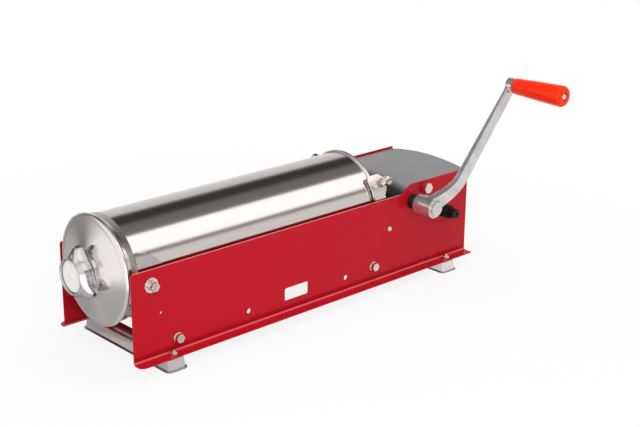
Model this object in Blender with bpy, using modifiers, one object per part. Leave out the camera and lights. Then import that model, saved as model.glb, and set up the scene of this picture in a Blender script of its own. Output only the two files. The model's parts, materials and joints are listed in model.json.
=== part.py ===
"""Horizontal hand-cranked sausage stuffer with a two-speed rack drive, modelled as separate sub-parts.

Every size is in metres. Positions are measured from the datum: X from the front edges of the side
panels towards the crank end, Y from the barrel's axis plane towards the far side, Z from the underside
of the panels' foot flanges. The datum empty carries them into the world, whose origin lies on the
bench, in the middle of the front foot's front bearing strip.
"""

import math

import bmesh
import bpy
from mathutils import Matrix, Vector

# Clearances and facets
GAP = 0.0003                # between pieces that seat on each other
PANEL_GAP = 0.0005          # between the panels and the sheets that slide in between them
BIG = 32                    # facets round the barrel
ROUND = 16                  # facets round hubs and grips
SMALL = 12                  # facets round bolts, bushes and holes
OVERCUT = 0.01              # how far a cutter runs past the wall it cuts
MARKER = 0.02               # drawn size of the empties

# Barrel, which the rest of the machine is laid out round
BARREL_R = 0.0831
BARREL_WALL = 0.001
BARREL_FRONT = 0.006
BARREL_SPACE = 0.0048       # between the cap's rim and each panel
RIM_AHEAD = 0.044           # of the rolled rim's middle before the gearbox's front wall
RIM_ROLL = 0.0024

# Side panels
FRAME_LENGTH = 0.735
PANEL_SHEET = 0.002
EDGE_RISE = 0.0192          # of the top edge beside the barrel over the barrel's axis
STEP_AHEAD = 0.172          # start of the rise to the gearbox, from the panels' rear edge
STEP_RUN = 0.0255
PANEL_CORNER = 0.004
FLANGE = 0.018
BEND = 0.004
FLANGE_CORNER = 0.010
WINDOW_PLACE = 0.4374       # share of the frame's length
WINDOW_Z = 0.0322
WINDOW_LENGTH = 0.051
WINDOW_HEIGHT = 0.0217
WINDOW_CORNER = 0.003
TOOLING_HOLE = (0.0514, 0.0716, 0.002)
PORT_HOLES = ((0.3001, 0.0256), (0.5886, 0.0262))   # share of the frame's length, and height
PORT_R = 0.0042

# Feet and their bolts
FOOT_HEIGHT = 0.020
FOOT_SHEET = 0.0015
FOOT_LIP = 0.003
FOOT_WIDTH = 0.040          # along X, over the lips
FOOT_OUTSIDE = 0.004        # of the lips past the flanges' edges
FOOT_TAPER = 0.0025
FOOT_CORNER = 0.006
FOOT_EDGE = 0.0015
FRONT_FOOT_X = 0.065
REAR_FOOT_AHEAD = 0.0605    # of the panels' rear edge
FOOT_BOLT_OUT = 0.0095      # of the bolts from the webs' outer faces
FOOT_BOLT_R = 0.003
FOOT_BOLT_AF = 0.010
FOOT_HEAD = 0.004
FOOT_NUT = 0.005
FOOT_BOLT_STICKOUT = 0.0035

# Tie bolts, pivots and cross bolt
ROD_R = 0.004
NUT_AF = 0.013
NUT_HEIGHT = 0.0065
LOCK_NUT = 0.004
TIE_FLANGE_R = 0.0086       # of the flange under a tie bolt's head and nut
TIE_FLANGE = 0.0018
TIE_FLANGE_TOP_R = 0.0058
THREAD_RELIEF = 0.0002      # of the nut's hexagon round the flange's bore
TIE_FLANGE_EDGE = 0.0008
TIE_STICKOUT = 0.004        # of the tie bolt past its nut
ROD_CHAMFER = 0.0008
TUBE_WALL = 0.0022
FRONT_TIE = (0.0805, 0.0231)
REAR_TIE_AHEAD = 0.0165     # of the barrel's rim
REAR_TIE_Z = 0.0301
REST_R = 0.0118             # outside of the tube that the barrel rests on
PIVOT_X = 0.0345
PIVOT_DROP = 0.0048         # of the pivot under the barrel's axis
PIVOT_WASHER_R = 0.012
PIVOT_WASHER = 0.0015
CROSS_AHEAD = 0.114         # of the panels' rear edge
CROSS_R = 0.005
CROSS_AF = 0.017
CROSS_HEAD = 0.0062
CROSS_NUT = 0.008
CROSS_STICKOUT = 0.003
CROSS_BOSS = 0.005
CROSS_BOSS_R = 0.0105
SLEEVE_WALL = 0.0008

# Cap and pivot pads
CAP_SHEET = 0.0012
CAP_SKIRT_END = 0.0205
CAP_RIM = 0.0051            # of the cap's rim outside the barrel
CAP_ROLL = 0.0035
CAP_ROLL_X = 0.001          # middle of the cap's rolled rim
CAP_FLARE_X = 0.0068        # where the skirt turns outwards into the rim
CAP_INSET = 0.003           # step from the rim in to the cone
CAP_DISH = 0.25             # how much the cone curves towards its seat
CAP_FACE_X = -0.0132        # flat seat of the spigot
CAP_SEAT_R = 0.036
PAD_R = 0.044
PAD_X = 0.0265
PAD_DROP = 0.0028           # of the pad's middle under the barrel's axis
PAD_THICK = 0.0022
PAD_LENGTH = 0.050
STUD_SHOULDER_R = 0.0075

# Spigot, plug disc and ring nut
SPIGOT_R = 0.028
SPIGOT_BORE = 0.0245
SPIGOT_END = -0.0344
SPIGOT_FLANGE_R = 0.0345
SPIGOT_FLANGE = 0.006
SPIGOT_INSIDE = 0.003       # how far it reaches past the cap sheet
PLUG_FLANGE = 0.0025
PLUG_FLANGE_R = 0.0275
PLUG_FACE_R = 0.0252
PLUG_RISE = 0.0028
PLUG_EDGE = 0.0008
PLUG_NUB_R = 0.0025
PLUG_NUB = 0.0005
NUT_THREAD_GAP = 0.0005
NUT_FRONT = -0.043
NUT_OPENING_R = 0.0258
NUT_BODY_R = 0.033
NUT_LOBE = 0.014
NUT_LOBES = 3
NUT_LOBE_SHARPNESS = 4
NUT_ROUND = 0.003           # how far the lobes run out towards each face
NUT_EDGE = 0.0015
NUT_FRONT_LOBE = 0.9        # height of the lobes at the front, as a share of the rear

# Piston and rack
PISTON_FRONT = 0.010
PISTON_PLATE = 0.008
PISTON_BACK = 0.004
PISTON_SIDE = 0.0021        # between the piston's plates and the bore
SEAL_THICK = 0.012
SEAL_GROOVE = 0.002
SEAL_LIP = 0.35             # share of the seal's thickness that each lip takes
PISTON_CHAMFER = 0.003
RACK_WIDTH = 0.020
RACK_BACK = 0.0145          # solid height above the tooth roots
RACK_PAST_PINION = 0.0362   # of the rack's rear end past the fast shaft
RACK_DROP = 0.0065          # of the rack's pitch line under the barrel's axis
RACK_STUD_R = 0.006
RACK_STUD_ROOT = 0.010      # how far the stud is joined into the bar
RACK_STUD_STICKOUT = 0.001
RACK_END_LAND = 0.4         # of a pitch that stays solid at the rack's rear end
PISTON_NUT_AF = 0.019
PISTON_NUT_HEIGHT = 0.006
PISTON_CLEAR = 0.0041       # of the piston's front past the barrel's rim when it is drawn out

# Gears and shafts
PRESSURE_ANGLE = math.radians(20)
DEDENDUM = 1.25             # depth of a tooth's root under the pitch line, in modules
BACKLASH = 0.0004
RACK_MODULE = 0.0025
RACK_PINION_TEETH = 18
GEAR_MODULE = 0.002
MAIN_TEETH = 57
SLOW_TEETH = 22
GEAR_FACE = 0.012
GEAR_Y = -0.039
PINION_FACE = 0.022
FAST_AHEAD = 0.0712         # of the panels' rear edge
MESH_ANGLE = math.radians(157.2)    # direction from the fast shaft to the slow one
SHAFT_R = 0.009
SHAFT_FLAT = 0.0072         # half the width over the flats for the crank
KEY_WIDTH = 0.005
KEY_HEIGHT = 0.002
BORE_GAP = 0.0003
SHAFT_CHAMFER = 0.001
SHAFT_COLLAR_R = 0.0125     # collar that keeps the fast shaft from moving along
SHAFT_COLLAR = 0.006
CENTRE_HOLE_R = 0.0025
CENTRE_HOLE = 0.006
BUSH_R = 0.011
BUSH_INSIDE = 0.008
SLOW_BUSH_COLLAR_R = 0.013
SLOW_BUSH_COLLAR = 0.0162
FAST_BUSH_COLLAR_R = 0.012
FAST_BUSH_COLLAR = 0.0247
FAR_BUSH_COLLAR = 0.0035
INNER_BUSH_R = 0.0125
INNER_BUSH_COLLAR_R = 0.015
INNER_BUSH_COLLAR = 0.003
INNER_BUSH_INSIDE = 0.002
FAST_STICKOUT = 0.040       # of the fast shaft past the near panel
LIGHTENING_R = 0.0095
LIGHTENING_PITCH_R = 0.034
LIGHTENING_HOLES = 5

# Gearbox sheets
COVER_SHEET = 0.0015
COVER_RISE = 0.0051         # of the vaulted cover's crown over the panels' edge
COVER_SAG = 0.0094          # from the vault's crown to its sides
COVER_WALL_AHEAD = 0.1775   # of the panels' rear edge
COVER_WALL_BOTTOM = 0.055
COVER_BEND = 0.008
COVER_LIP = 0.007
COVER_INSET = 0.001         # of the cover's rear edge ahead of the panels' one
SLOT_SIDE = 0.0015          # clearance round the rack where it passes a sheet
REAR_PLATE_AHEAD = 0.0055
REAR_PLATE_SHEET = 0.002
REAR_PLATE_BOTTOM = 0.030
REAR_PLATE_FLANGE = 0.014
REAR_PLATE_SHOULDER = 0.0015
GEAR_PLATE_Y = -0.022
GEAR_PLATE_SHEET = 0.003
GEAR_PLATE_AHEAD = 0.025    # of the slow shaft
GEAR_PLATE_BELOW = 0.0263   # under the fast shaft
GEAR_PLATE_ABOVE = 0.0295   # over the slow shaft
GEAR_PLATE_SLANT = 0.013    # height of the slanted corner under the cover's step
GEAR_PLATE_CORNER = 0.006
ROLLER_R = 0.0093
ROLLER_HUB_R = 0.0075

# Crank
CRANK_ANGLE = math.radians(49.7)
CRANK_RADIUS = 0.254
HUB_PLAY = 0.0005           # between the hub and the bush's collar
HUB_LENGTH = 0.037
HUB_R = 0.0175
HUB_BOSS_R = 0.0135
HUB_BOSS = 0.005
HUB_EDGE = 0.001
ARM_SWING = 0.0483          # of the arm's inner face from the hub's inner end
ARM_LEAN = 0.004            # of the arm's tip further outwards
ARM_BEND = 0.065            # length of the arm's swing outwards
ARM_WIDTH = 0.0195
ARM_ROOT_THICK = 0.015
ARM_TIP_THICK = 0.0088
ARM_CORNER = 0.0025
TIP_BOSS_R = 0.0132
TIP_BOSS_RISE = 0.0006      # of the boss behind the arm's inner face
TIP_LENGTH = 0.0128
GRIP_LENGTH = 0.105
GRIP_SMALL_R = 0.0137
GRIP_LARGE_R = 0.0182
GRIP_END_ROUND = 0.006
GRIP_RECESS_R = 0.0075
GRIP_RECESS = 0.003
SPINDLE_R = 0.004
SPINDLE_HEAD_R = 0.0062
SPINDLE_HEAD = 0.003
SPINDLE_TOP = 0.7           # radius of the head's flat top, as a share of the head's

# Latches
LATCH_BEHIND = 0.0228       # of the latch's rivet behind the rim
LATCH_DROP = 0.0366         # of the rivet under the barrel's axis
LATCH_SHEET = 0.0015
LATCH_RIM_GAP = 0.0015
LATCH_AHEAD = 0.004         # of the lever's front edge before the rim
LATCH_WIDTH = 0.0225
LATCH_NECK = 0.0055         # the lever is narrower by this at its foot, on each edge
LATCH_FOOT_R = 0.010
LATCH_WRAP = math.radians(40)
LATCH_END_CORNER = 0.005
LATCH_RIVET_R = 0.0025
LATCH_RIVET_HEAD_R = 0.005
LATCH_RIVET_HEAD = 0.0025
LATCH_RIVET_TAIL = 0.0012
LATCH_RIVET_TOP = (0.6, 0.8)    # radius and height of the head's inner ring, as shares of the head's
KNOB_BEHIND = 0.019         # of the knob behind the rim
KNOB_ANGLE = math.radians(29)
KNOB_R = 0.007
KNOB_HEIGHT = 0.0135
KNOB_NECK_R = 0.004
KNOB_NECK = 0.0055
KNOB_ROUND = 0.004
KNOB_PIN_R = 0.0025
KNOB_TAIL_R = 0.004
KNOB_TAIL = 0.0004
TAB_SPREAD = math.radians(13)   # wrap angle over which the lever widens for the knob
TAB_MARGIN = 0.002

# Sizes that follow from the ones above
CAP_RIM_R = BARREL_R + CAP_RIM
INSIDE = CAP_RIM_R + BARREL_SPACE
HALF_WIDTH = INSIDE + PANEL_SHEET
BARREL_Z = REAR_TIE_Z + REST_R + GAP + BARREL_R
BORE_R = BARREL_R - BARREL_WALL
SEAL_R = BORE_R - GAP
PISTON_PLATE_R = BORE_R - PISTON_SIDE
PAD_Z = BARREL_Z - PAD_DROP
PIVOT = (PIVOT_X, BARREL_Z - PIVOT_DROP)
COVER_WALL_X = FRAME_LENGTH - COVER_WALL_AHEAD
COVER_REAR = FRAME_LENGTH - COVER_INSET
REAR_PLATE_X = FRAME_LENGTH - REAR_PLATE_AHEAD
RIM_X = COVER_WALL_X - RIM_AHEAD
REAR_TIE = (RIM_X - REAR_TIE_AHEAD, REAR_TIE_Z)
REAR_FOOT_X = FRAME_LENGTH - REAR_FOOT_AHEAD
FOOT_LENGTH = 2 * (HALF_WIDTH + FLANGE + FOOT_OUTSIDE)
FOOT_BOLT_Y = HALF_WIDTH + FOOT_BOLT_OUT
BENCH_X = FRONT_FOOT_X - FOOT_WIDTH / 2 + (FOOT_LIP + FOOT_SHEET) / 2
TRAVEL = RIM_X + RIM_ROLL + PISTON_CLEAR - PISTON_FRONT
RACK_PITCH_R = RACK_PINION_TEETH * RACK_MODULE / 2
RACK_PITCH_Z = BARREL_Z - RACK_DROP
RACK_TOP = RACK_PITCH_Z + DEDENDUM * RACK_MODULE + RACK_BACK
FAST_X = FRAME_LENGTH - FAST_AHEAD
FAST_Z = RACK_PITCH_Z - RACK_PITCH_R
FAST_TIP = HALF_WIDTH + FAST_STICKOUT
RACK_END = FAST_X + RACK_PAST_PINION
CENTRE_DISTANCE = (MAIN_TEETH + SLOW_TEETH) * GEAR_MODULE / 2
SLOW_X = FAST_X + CENTRE_DISTANCE * math.cos(MESH_ANGLE)
SLOW_Z = FAST_Z + CENTRE_DISTANCE * math.sin(MESH_ANGLE)
PISTON_REAR = PISTON_FRONT + PISTON_PLATE + SEAL_THICK + PISTON_BACK + 2 * GAP
SLEEVE_R = CROSS_R + BORE_GAP + SLEEVE_WALL
CROSS = (FRAME_LENGTH - CROSS_AHEAD, RACK_TOP + GAP + ROLLER_R)
COVER_HALF = INSIDE - PANEL_GAP
COVER_EDGE = CROSS[1] + SLEEVE_R + PANEL_GAP + COVER_SHEET
COVER_CROWN = COVER_EDGE + COVER_SAG
COVER_VAULT_R = (COVER_HALF ** 2 + COVER_SAG ** 2) / (2 * COVER_SAG)
LOW_EDGE = BARREL_Z + EDGE_RISE
HIGH_EDGE = COVER_CROWN - COVER_RISE
STEP_HEIGHT = HIGH_EDGE - LOW_EDGE
STEP_START = FRAME_LENGTH - STEP_AHEAD
STEP_END = STEP_START + STEP_RUN
ARM_DIRECTION = Vector((math.cos(CRANK_ANGLE), 0, math.sin(CRANK_ANGLE)))
HUB_START = HALF_WIDTH + GAP + SLOW_BUSH_COLLAR + HUB_PLAY
HUB_MIDDLE = HUB_START + HUB_LENGTH / 2
ARM_REAR = HUB_START + ARM_SWING
TIP_REAR = ARM_REAR + ARM_LEAN - TIP_BOSS_RISE
TIP_FRONT = TIP_REAR + TIP_LENGTH
GRIP_START = TIP_FRONT + GAP
RIM_R = BARREL_R + 2 * RIM_ROLL - BARREL_WALL
LATCH_INNER_R = RIM_R + LATCH_RIM_GAP
LATCH_OUTER_R = LATCH_INNER_R + LATCH_SHEET
LATCH_PIVOT = (RIM_X + LATCH_BEHIND, BARREL_Z - LATCH_DROP)
LATCH_FRONT = RIM_X - LATCH_AHEAD
KNOB_X = RIM_X + KNOB_BEHIND

# Directions that a piece's own Z axis is turned to
ALONG = {
    "X": (0, math.pi / 2, 0),
    "-X": (0, -math.pi / 2, 0),
    "Y": (-math.pi / 2, 0, 0),
    "-Y": (math.pi / 2, 0, 0),
    "Z": (0, 0, 0),
    "-Z": (math.pi, 0, 0),
}
UPRIGHT = (math.pi / 2, 0, 0)               # outline drawn in X and Z, thickness along Y
ACROSS = (math.pi / 2, 0, math.pi / 2)      # outline drawn in Y and Z, thickness along X


def clear_scene():
    """Removes the objects that a new file starts with."""
    for obj in list(bpy.data.objects):
        bpy.data.objects.remove(obj, do_unlink=True)


def new_collection(name, cutters=False):
    collection = bpy.data.collections.new(name)
    collection.hide_render = cutters
    bpy.context.scene.collection.children.link(collection)
    return collection


def finish(name, colour, roughness, metallic):
    """A Principled material."""
    material = bpy.data.materials.new(name)
    material.use_nodes = True
    shader = material.node_tree.nodes["Principled BSDF"]
    shader.inputs["Base Color"].default_value = (*colour, 1)
    shader.inputs["Roughness"].default_value = roughness
    shader.inputs["Metallic"].default_value = metallic
    material.diffuse_color = (*colour, 1)
    return material


FINISHES = {
    "red_paint": ((0.48, 0.012, 0.025), 0.25, 0.0),
    "grey_paint": ((0.30, 0.30, 0.31), 0.55, 0.0),
    "stainless": ((0.62, 0.60, 0.58), 0.28, 1.0),
    "cast_aluminium": ((0.72, 0.72, 0.73), 0.30, 1.0),
    "bright_zinc": ((0.75, 0.74, 0.70), 0.25, 1.0),
    "gear_steel": ((0.35, 0.35, 0.36), 0.40, 1.0),
    "black_plastic": ((0.012, 0.012, 0.013), 0.45, 0.0),
    "black_steel": ((0.02, 0.02, 0.022), 0.40, 0.6),
    "orange_plastic": ((0.80, 0.06, 0.012), 0.22, 0.0),
    "white_plastic": ((0.78, 0.74, 0.68), 0.40, 0.0),
    "clear_rubber": ((0.70, 0.68, 0.64), 0.50, 0.0),
}


class Model:
    """Holds the collections, the materials and the datum that the pieces hang on."""

    def __init__(self):
        self.parts = new_collection("sausage_stuffer")
        self.cutters = new_collection("cutters", cutters=True)
        self.materials = {}
        self.datum = self.empty("datum", (-BENCH_X, 0, FOOT_HEIGHT))

    def empty(self, name, at, parent=None):
        """An empty that carries pieces: the datum, or a joint's axis point."""
        empty = bpy.data.objects.new(name, None)
        empty.empty_display_size = MARKER
        empty.location = at
        empty.parent = parent
        self.parts.objects.link(empty)
        return empty

    def material(self, name):
        if name not in self.materials:
            self.materials[name] = finish(name, *FINISHES[name])
        return self.materials[name]

    def add(self, name, mesh, slot, at=(0, 0, 0), turn=(0, 0, 0), parent=None):
        """A named sub-part; its place is given from the datum, or from its parent empty's own point."""
        obj = bpy.data.objects.new(name, mesh)
        obj.rotation_euler = turn
        obj.parent = parent or self.datum
        obj.location = at
        mesh.materials.append(self.material(slot))
        self.parts.objects.link(obj)
        return obj

    def cut(self, target, mesh, at=(0, 0, 0), turn=(0, 0, 0), operation="DIFFERENCE"):
        """Cuts, joins or trims a piece with a mesh placed from the same parent as the piece."""
        cutter = bpy.data.objects.new(f"{target.name}_{operation.lower()}", mesh)
        cutter.rotation_euler = turn
        cutter.location = at
        cutter.parent = target.parent
        cutter.display_type = "WIRE"
        cutter.hide_render = True
        self.cutters.objects.link(cutter)
        modifier = target.modifiers.new(operation.title(), "BOOLEAN")
        modifier.operation = operation
        modifier.solver = "EXACT"
        modifier.object = cutter
        return cutter


def mesh_from(bm, name):
    bmesh.ops.recalc_face_normals(bm, faces=bm.faces)
    mesh = bpy.data.meshes.new(name)
    bm.to_mesh(mesh)
    bm.free()
    return mesh


def arc(centre, radius, start, end, steps):
    """Points of an arc, from the start angle to the end angle in degrees."""
    angles = [math.radians(start + (end - start) * i / steps) for i in range(steps + 1)]
    return [(centre[0] + radius * math.cos(a), centre[1] + radius * math.sin(a)) for a in angles]


def circle(centre, radius, steps=SMALL):
    return arc(centre, radius, 0, 360, steps)[:-1]


def rounded(corners, radius, steps=3):
    """A closed outline with each corner replaced by an arc."""
    outline = []
    for i, corner in enumerate(corners):
        here = Vector(corner)
        before = (Vector(corners[i - 1]) - here).normalized()
        after = (Vector(corners[(i + 1) % len(corners)]) - here).normalized()
        half = before.angle(after) / 2
        reach = radius / math.tan(half)
        centre = here + (before + after).normalized() * radius / math.sin(half)
        first = here + before * reach - centre
        last = here + after * reach - centre
        start = math.degrees(math.atan2(first.y, first.x))
        sweep = math.degrees(math.atan2(first.cross(last), first.dot(last)))
        outline += arc(centre, radius, start, start + sweep, steps)
    return outline


def flatted(radius, flat):
    """A circle with two flats, each at the given distance from its centre."""
    reach = math.degrees(math.asin(flat / radius))
    return arc((0, 0), radius, -reach, reach, 6) + arc((0, 0), radius, 180 - reach, 180 + reach, 6)


def box_corners(x0, x1, z0, z1):
    return [(x0, z0), (x1, z0), (x1, z1), (x0, z1)]


def plate(name, loops, thickness):
    """A flat piece from a closed outline and the outlines of its holes, centred on its own plane."""
    curve = bpy.data.curves.new(name, "CURVE")
    curve.dimensions = "2D"
    curve.fill_mode = "BOTH"
    curve.extrude = thickness / 2
    for loop in loops:
        spline = curve.splines.new("POLY")
        spline.points.add(len(loop) - 1)
        for point, (u, v) in zip(spline.points, loop):
            point.co = (u, v, 0, 1)
        spline.use_cyclic_u = True
    holder = bpy.data.objects.new(name, curve)
    bpy.context.scene.collection.objects.link(holder)
    bpy.context.view_layer.update()
    mesh = bpy.data.meshes.new_from_object(holder.evaluated_get(bpy.context.evaluated_depsgraph_get()))
    bpy.data.objects.remove(holder, do_unlink=True)
    bpy.data.curves.remove(curve)
    bm = bmesh.new()
    bm.from_mesh(mesh)
    bpy.data.meshes.remove(mesh)
    bmesh.ops.remove_doubles(bm, verts=bm.verts, dist=1e-6)
    return mesh_from(bm, name)


def rod(name, radius, length, facets=SMALL, tip=None):
    """A cylinder, cone or hexagon prism along its own Z axis, starting at its origin."""
    bm = bmesh.new()
    bmesh.ops.create_cone(
        bm, cap_ends=True, segments=facets, radius1=radius, radius2=radius if tip is None else tip,
        depth=length, matrix=Matrix.Translation((0, 0, length / 2)),
    )
    return mesh_from(bm, name)


def profile_mesh(name, profile, closed=False):
    """A profile of (radius, height) points in the XZ plane that runs down its outer side."""
    bm = bmesh.new()
    points = [bm.verts.new((radius, 0, height)) for radius, height in profile]
    for first, second in zip(points, points[1:]):
        bm.edges.new((first, second))
    if closed:
        bm.edges.new((points[-1], points[0]))
    mesh = bpy.data.meshes.new(name)
    bm.to_mesh(mesh)
    bm.free()
    return mesh


def turned(model, name, profile, slot, at, along, facets=SMALL, closed=False, parent=None):
    """A turned piece: the profile spun about its own Z axis, which points as along says."""
    obj = model.add(name, profile_mesh(name, profile, closed), slot, at, ALONG[along], parent)
    screw = obj.modifiers.new("Turn", "SCREW")
    screw.axis = "Z"
    screw.steps = facets
    screw.render_steps = facets
    screw.use_merge_vertices = True
    screw.merge_threshold = 1e-5
    screw.use_smooth_shade = False
    return obj


def ring_profile(inner, outer, start, end):
    """Closed profile of a plain ring or tube."""
    return [(outer, end), (outer, start), (inner, start), (inner, end)]


def loft(name, rings, closed=False):
    """A skin through rings of equal point counts, capped at both ends or joined end to start."""
    bm = bmesh.new()
    layers = [[bm.verts.new(point) for point in ring] for ring in rings]
    pairs = list(zip(layers, layers[1:]))
    if closed:
        pairs.append((layers[-1], layers[0]))
    for lower, upper in pairs:
        count = len(lower)
        for i in range(count):
            j = (i + 1) % count
            bm.faces.new((lower[i], lower[j], upper[j], upper[i]))
    if not closed:
        bm.faces.new(layers[0])
        bm.faces.new(layers[-1])
    return mesh_from(bm, name)


def drills(name, holes, length, facets=SMALL):
    """Cylinders along Z, centred on their own plane, that drill every hole of a list in one cut."""
    bm = bmesh.new()
    for u, v, radius in holes:
        bmesh.ops.create_cone(
            bm, cap_ends=True, segments=facets, radius1=radius, radius2=radius,
            depth=length, matrix=Matrix.Translation((u, v, 0)),
        )
    return mesh_from(bm, name)


def block(name, x0, x1, y0, y1, z0, z1):
    """A box between two corners."""
    bm = bmesh.new()
    middle = Matrix.Translation(((x0 + x1) / 2, (y0 + y1) / 2, (z0 + z1) / 2))
    size = Matrix.Diagonal((x1 - x0, y1 - y0, z1 - z0, 1))
    bmesh.ops.create_cube(bm, size=1, matrix=middle @ size)
    return mesh_from(bm, name)


def hexagon_outline(across_flats):
    return circle((0, 0), across_flats / math.sqrt(3), 6)


def hex_nut(model, name, at, along, across_flats, bore, height, slot="bright_zinc"):
    """A nut whose seat is at its origin; it stands up along its own Z axis."""
    loops = [hexagon_outline(across_flats), circle((0, 0), bore)]
    nut = model.add(name, plate(name, loops, height), slot, at, ALONG[along])
    nut.location += nut.rotation_euler.to_matrix() @ Vector((0, 0, height / 2))
    return nut


def hex_bolt(model, name, at, along, radius, across_flats, head, length, facets=SMALL):
    """A bolt whose head's underside is at its origin; the shank runs along its own Z axis."""
    bolt = model.add(name, rod(name, radius, length + head / 2, facets), "bright_zinc", at, ALONG[along])
    bolt.location -= bolt.rotation_euler.to_matrix() @ Vector((0, 0, head / 2))
    hexagon = plate(name + "_head", [hexagon_outline(across_flats)], head)
    model.cut(bolt, hexagon, bolt.location, ALONG[along], "UNION")
    return bolt


def step_curve(start, end, steps=8):
    """The S-shaped rise from the low edge to the gearbox edge, as (x, share of the rise)."""
    for i in range(steps + 1):
        t = i / steps
        yield start + (end - start) * t, (1 - math.cos(math.pi * t)) / 2


def panel_section(side):
    """Web, bend and outward flange in Y and Z."""
    centre = (HALF_WIDTH + BEND, PANEL_SHEET + BEND)
    top = HIGH_EDGE + OVERCUT
    outer = [(HALF_WIDTH, top)] + arc(centre, BEND, 180, 270, 4) + [(HALF_WIDTH + FLANGE, PANEL_SHEET)]
    inner = [(HALF_WIDTH + FLANGE, 0)] + arc(centre, BEND + PANEL_SHEET, 270, 180, 5) + [(INSIDE, top)]
    return [(side * y, z) for y, z in outer + inner]


def side_panel(model, name, side, shaft_holes):
    """One bent sheet with its shaped top edge, fastener holes, port holes and window."""
    mesh = plate(name, [panel_section(side)], FRAME_LENGTH)
    panel = model.add(name, mesh, "red_paint", (FRAME_LENGTH / 2, 0, 0), ACROSS)
    web = (0, side * (HALF_WIDTH - PANEL_SHEET / 2), 0)
    if side < 0:
        boss = rod("cross_boss", CROSS_BOSS_R, CROSS_BOSS + PANEL_SHEET / 2)
        model.cut(panel, boss, (CROSS[0], web[1], CROSS[1]), ALONG["-Y"], "UNION")
    corner = arc((PANEL_CORNER, LOW_EDGE - PANEL_CORNER), PANEL_CORNER, 180, 90, 3)
    edge = [(x, LOW_EDGE + STEP_HEIGHT * rise) for x, rise in step_curve(STEP_START, STEP_END)]
    beyond = FRAME_LENGTH + OVERCUT
    outline = [(-OVERCUT, corner[0][1])] + corner + edge
    outline += [(beyond, HIGH_EDGE), (beyond, HIGH_EDGE + 2 * OVERCUT), (-OVERCUT, HIGH_EDGE + 2 * OVERCUT)]
    model.cut(panel, plate("top_edge", [outline], 3 * PANEL_SHEET), web, UPRIGHT)
    holes = [(*point, ROD_R + GAP) for point in (PIVOT, FRONT_TIE, REAR_TIE)] + [TOOLING_HOLE]
    holes += [(place * FRAME_LENGTH, z, PORT_R) for place, z in PORT_HOLES]
    holes += [(*LATCH_PIVOT, LATCH_RIVET_R + GAP), (*CROSS, CROSS_R + GAP)]
    model.cut(panel, drills("web_holes", holes, 2 * OVERCUT), web, UPRIGHT)
    bush_holes = [(x, z, BUSH_R + GAP) for x, z in shaft_holes]
    model.cut(panel, drills("bush_holes", bush_holes, 2 * OVERCUT, ROUND), web, UPRIGHT)
    window_x = WINDOW_PLACE * FRAME_LENGTH
    window = rounded(
        box_corners(window_x - WINDOW_LENGTH / 2, window_x + WINDOW_LENGTH / 2,
                    WINDOW_Z - WINDOW_HEIGHT / 2, WINDOW_Z + WINDOW_HEIGHT / 2), WINDOW_CORNER)
    model.cut(panel, plate("window", [window], 2 * OVERCUT), web, UPRIGHT)
    flange_holes = [(x, side * FOOT_BOLT_Y, FOOT_BOLT_R + GAP) for x in (FRONT_FOOT_X, REAR_FOOT_X)]
    model.cut(panel, drills("flange_holes", flange_holes, OVERCUT))
    edge_y = HALF_WIDTH + FLANGE
    trim = [(-OVERCUT, edge_y + OVERCUT), (FLANGE_CORNER, edge_y + OVERCUT)]
    trim += arc((FLANGE_CORNER, edge_y - FLANGE_CORNER), FLANGE_CORNER, 90, 180, 4)
    trim += [(-OVERCUT, edge_y - FLANGE_CORNER)]
    model.cut(panel, plate("flange_corner", [[(x, side * y) for x, y in trim]], OVERCUT))
    return panel


def foot(model, name, x):
    """A pressed tray that stands upside down under both flanges, with a lip round its open side."""
    deep = FOOT_HEIGHT - GAP - FOOT_SHEET
    base = (FOOT_WIDTH / 2 - FOOT_LIP, FOOT_LENGTH / 2 - FOOT_LIP)
    levels = [
        (-FOOT_TAPER - FOOT_EDGE, 0),
        (-FOOT_TAPER, -FOOT_EDGE),
        (0, -deep),
        (FOOT_LIP, -deep),
        (FOOT_LIP, -deep - FOOT_SHEET),
        (-FOOT_SHEET, -deep - FOOT_SHEET),
        (-FOOT_TAPER - FOOT_SHEET, -FOOT_SHEET),
    ]
    rings = []
    for offset, height in levels:
        half_x, half_y = base[0] + offset, base[1] + offset
        outline = rounded(box_corners(-half_x, half_x, -half_y, half_y), FOOT_CORNER + offset)
        rings.append([(u, v, height) for u, v in outline])
    tray = model.add(name, loft(name, rings), "stainless", (x, 0, -GAP))
    holes = [(0, side * FOOT_BOLT_Y, FOOT_BOLT_R + GAP) for side in (-1, 1)]
    model.cut(tray, drills(name + "_holes", holes, OVERCUT), (x, 0, 0))
    return tray


def foot_bolt(model, name, x, side):
    """A bolt from inside the tray, with its nut on the flange."""
    under = -GAP - FOOT_SHEET - GAP
    nut_seat = PANEL_SHEET + GAP
    length = nut_seat + FOOT_NUT + FOOT_BOLT_STICKOUT - under
    at = (x, side * FOOT_BOLT_Y, under)
    bolt = hex_bolt(model, name, at, "Z", FOOT_BOLT_R, FOOT_BOLT_AF, FOOT_HEAD, length)
    nut_at = (x, side * FOOT_BOLT_Y, nut_seat + FOOT_NUT / 2)
    model.cut(bolt, plate(name + "_nut", [hexagon_outline(FOOT_BOLT_AF)], FOOT_NUT), nut_at, (0, 0, 0), "UNION")


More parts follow.
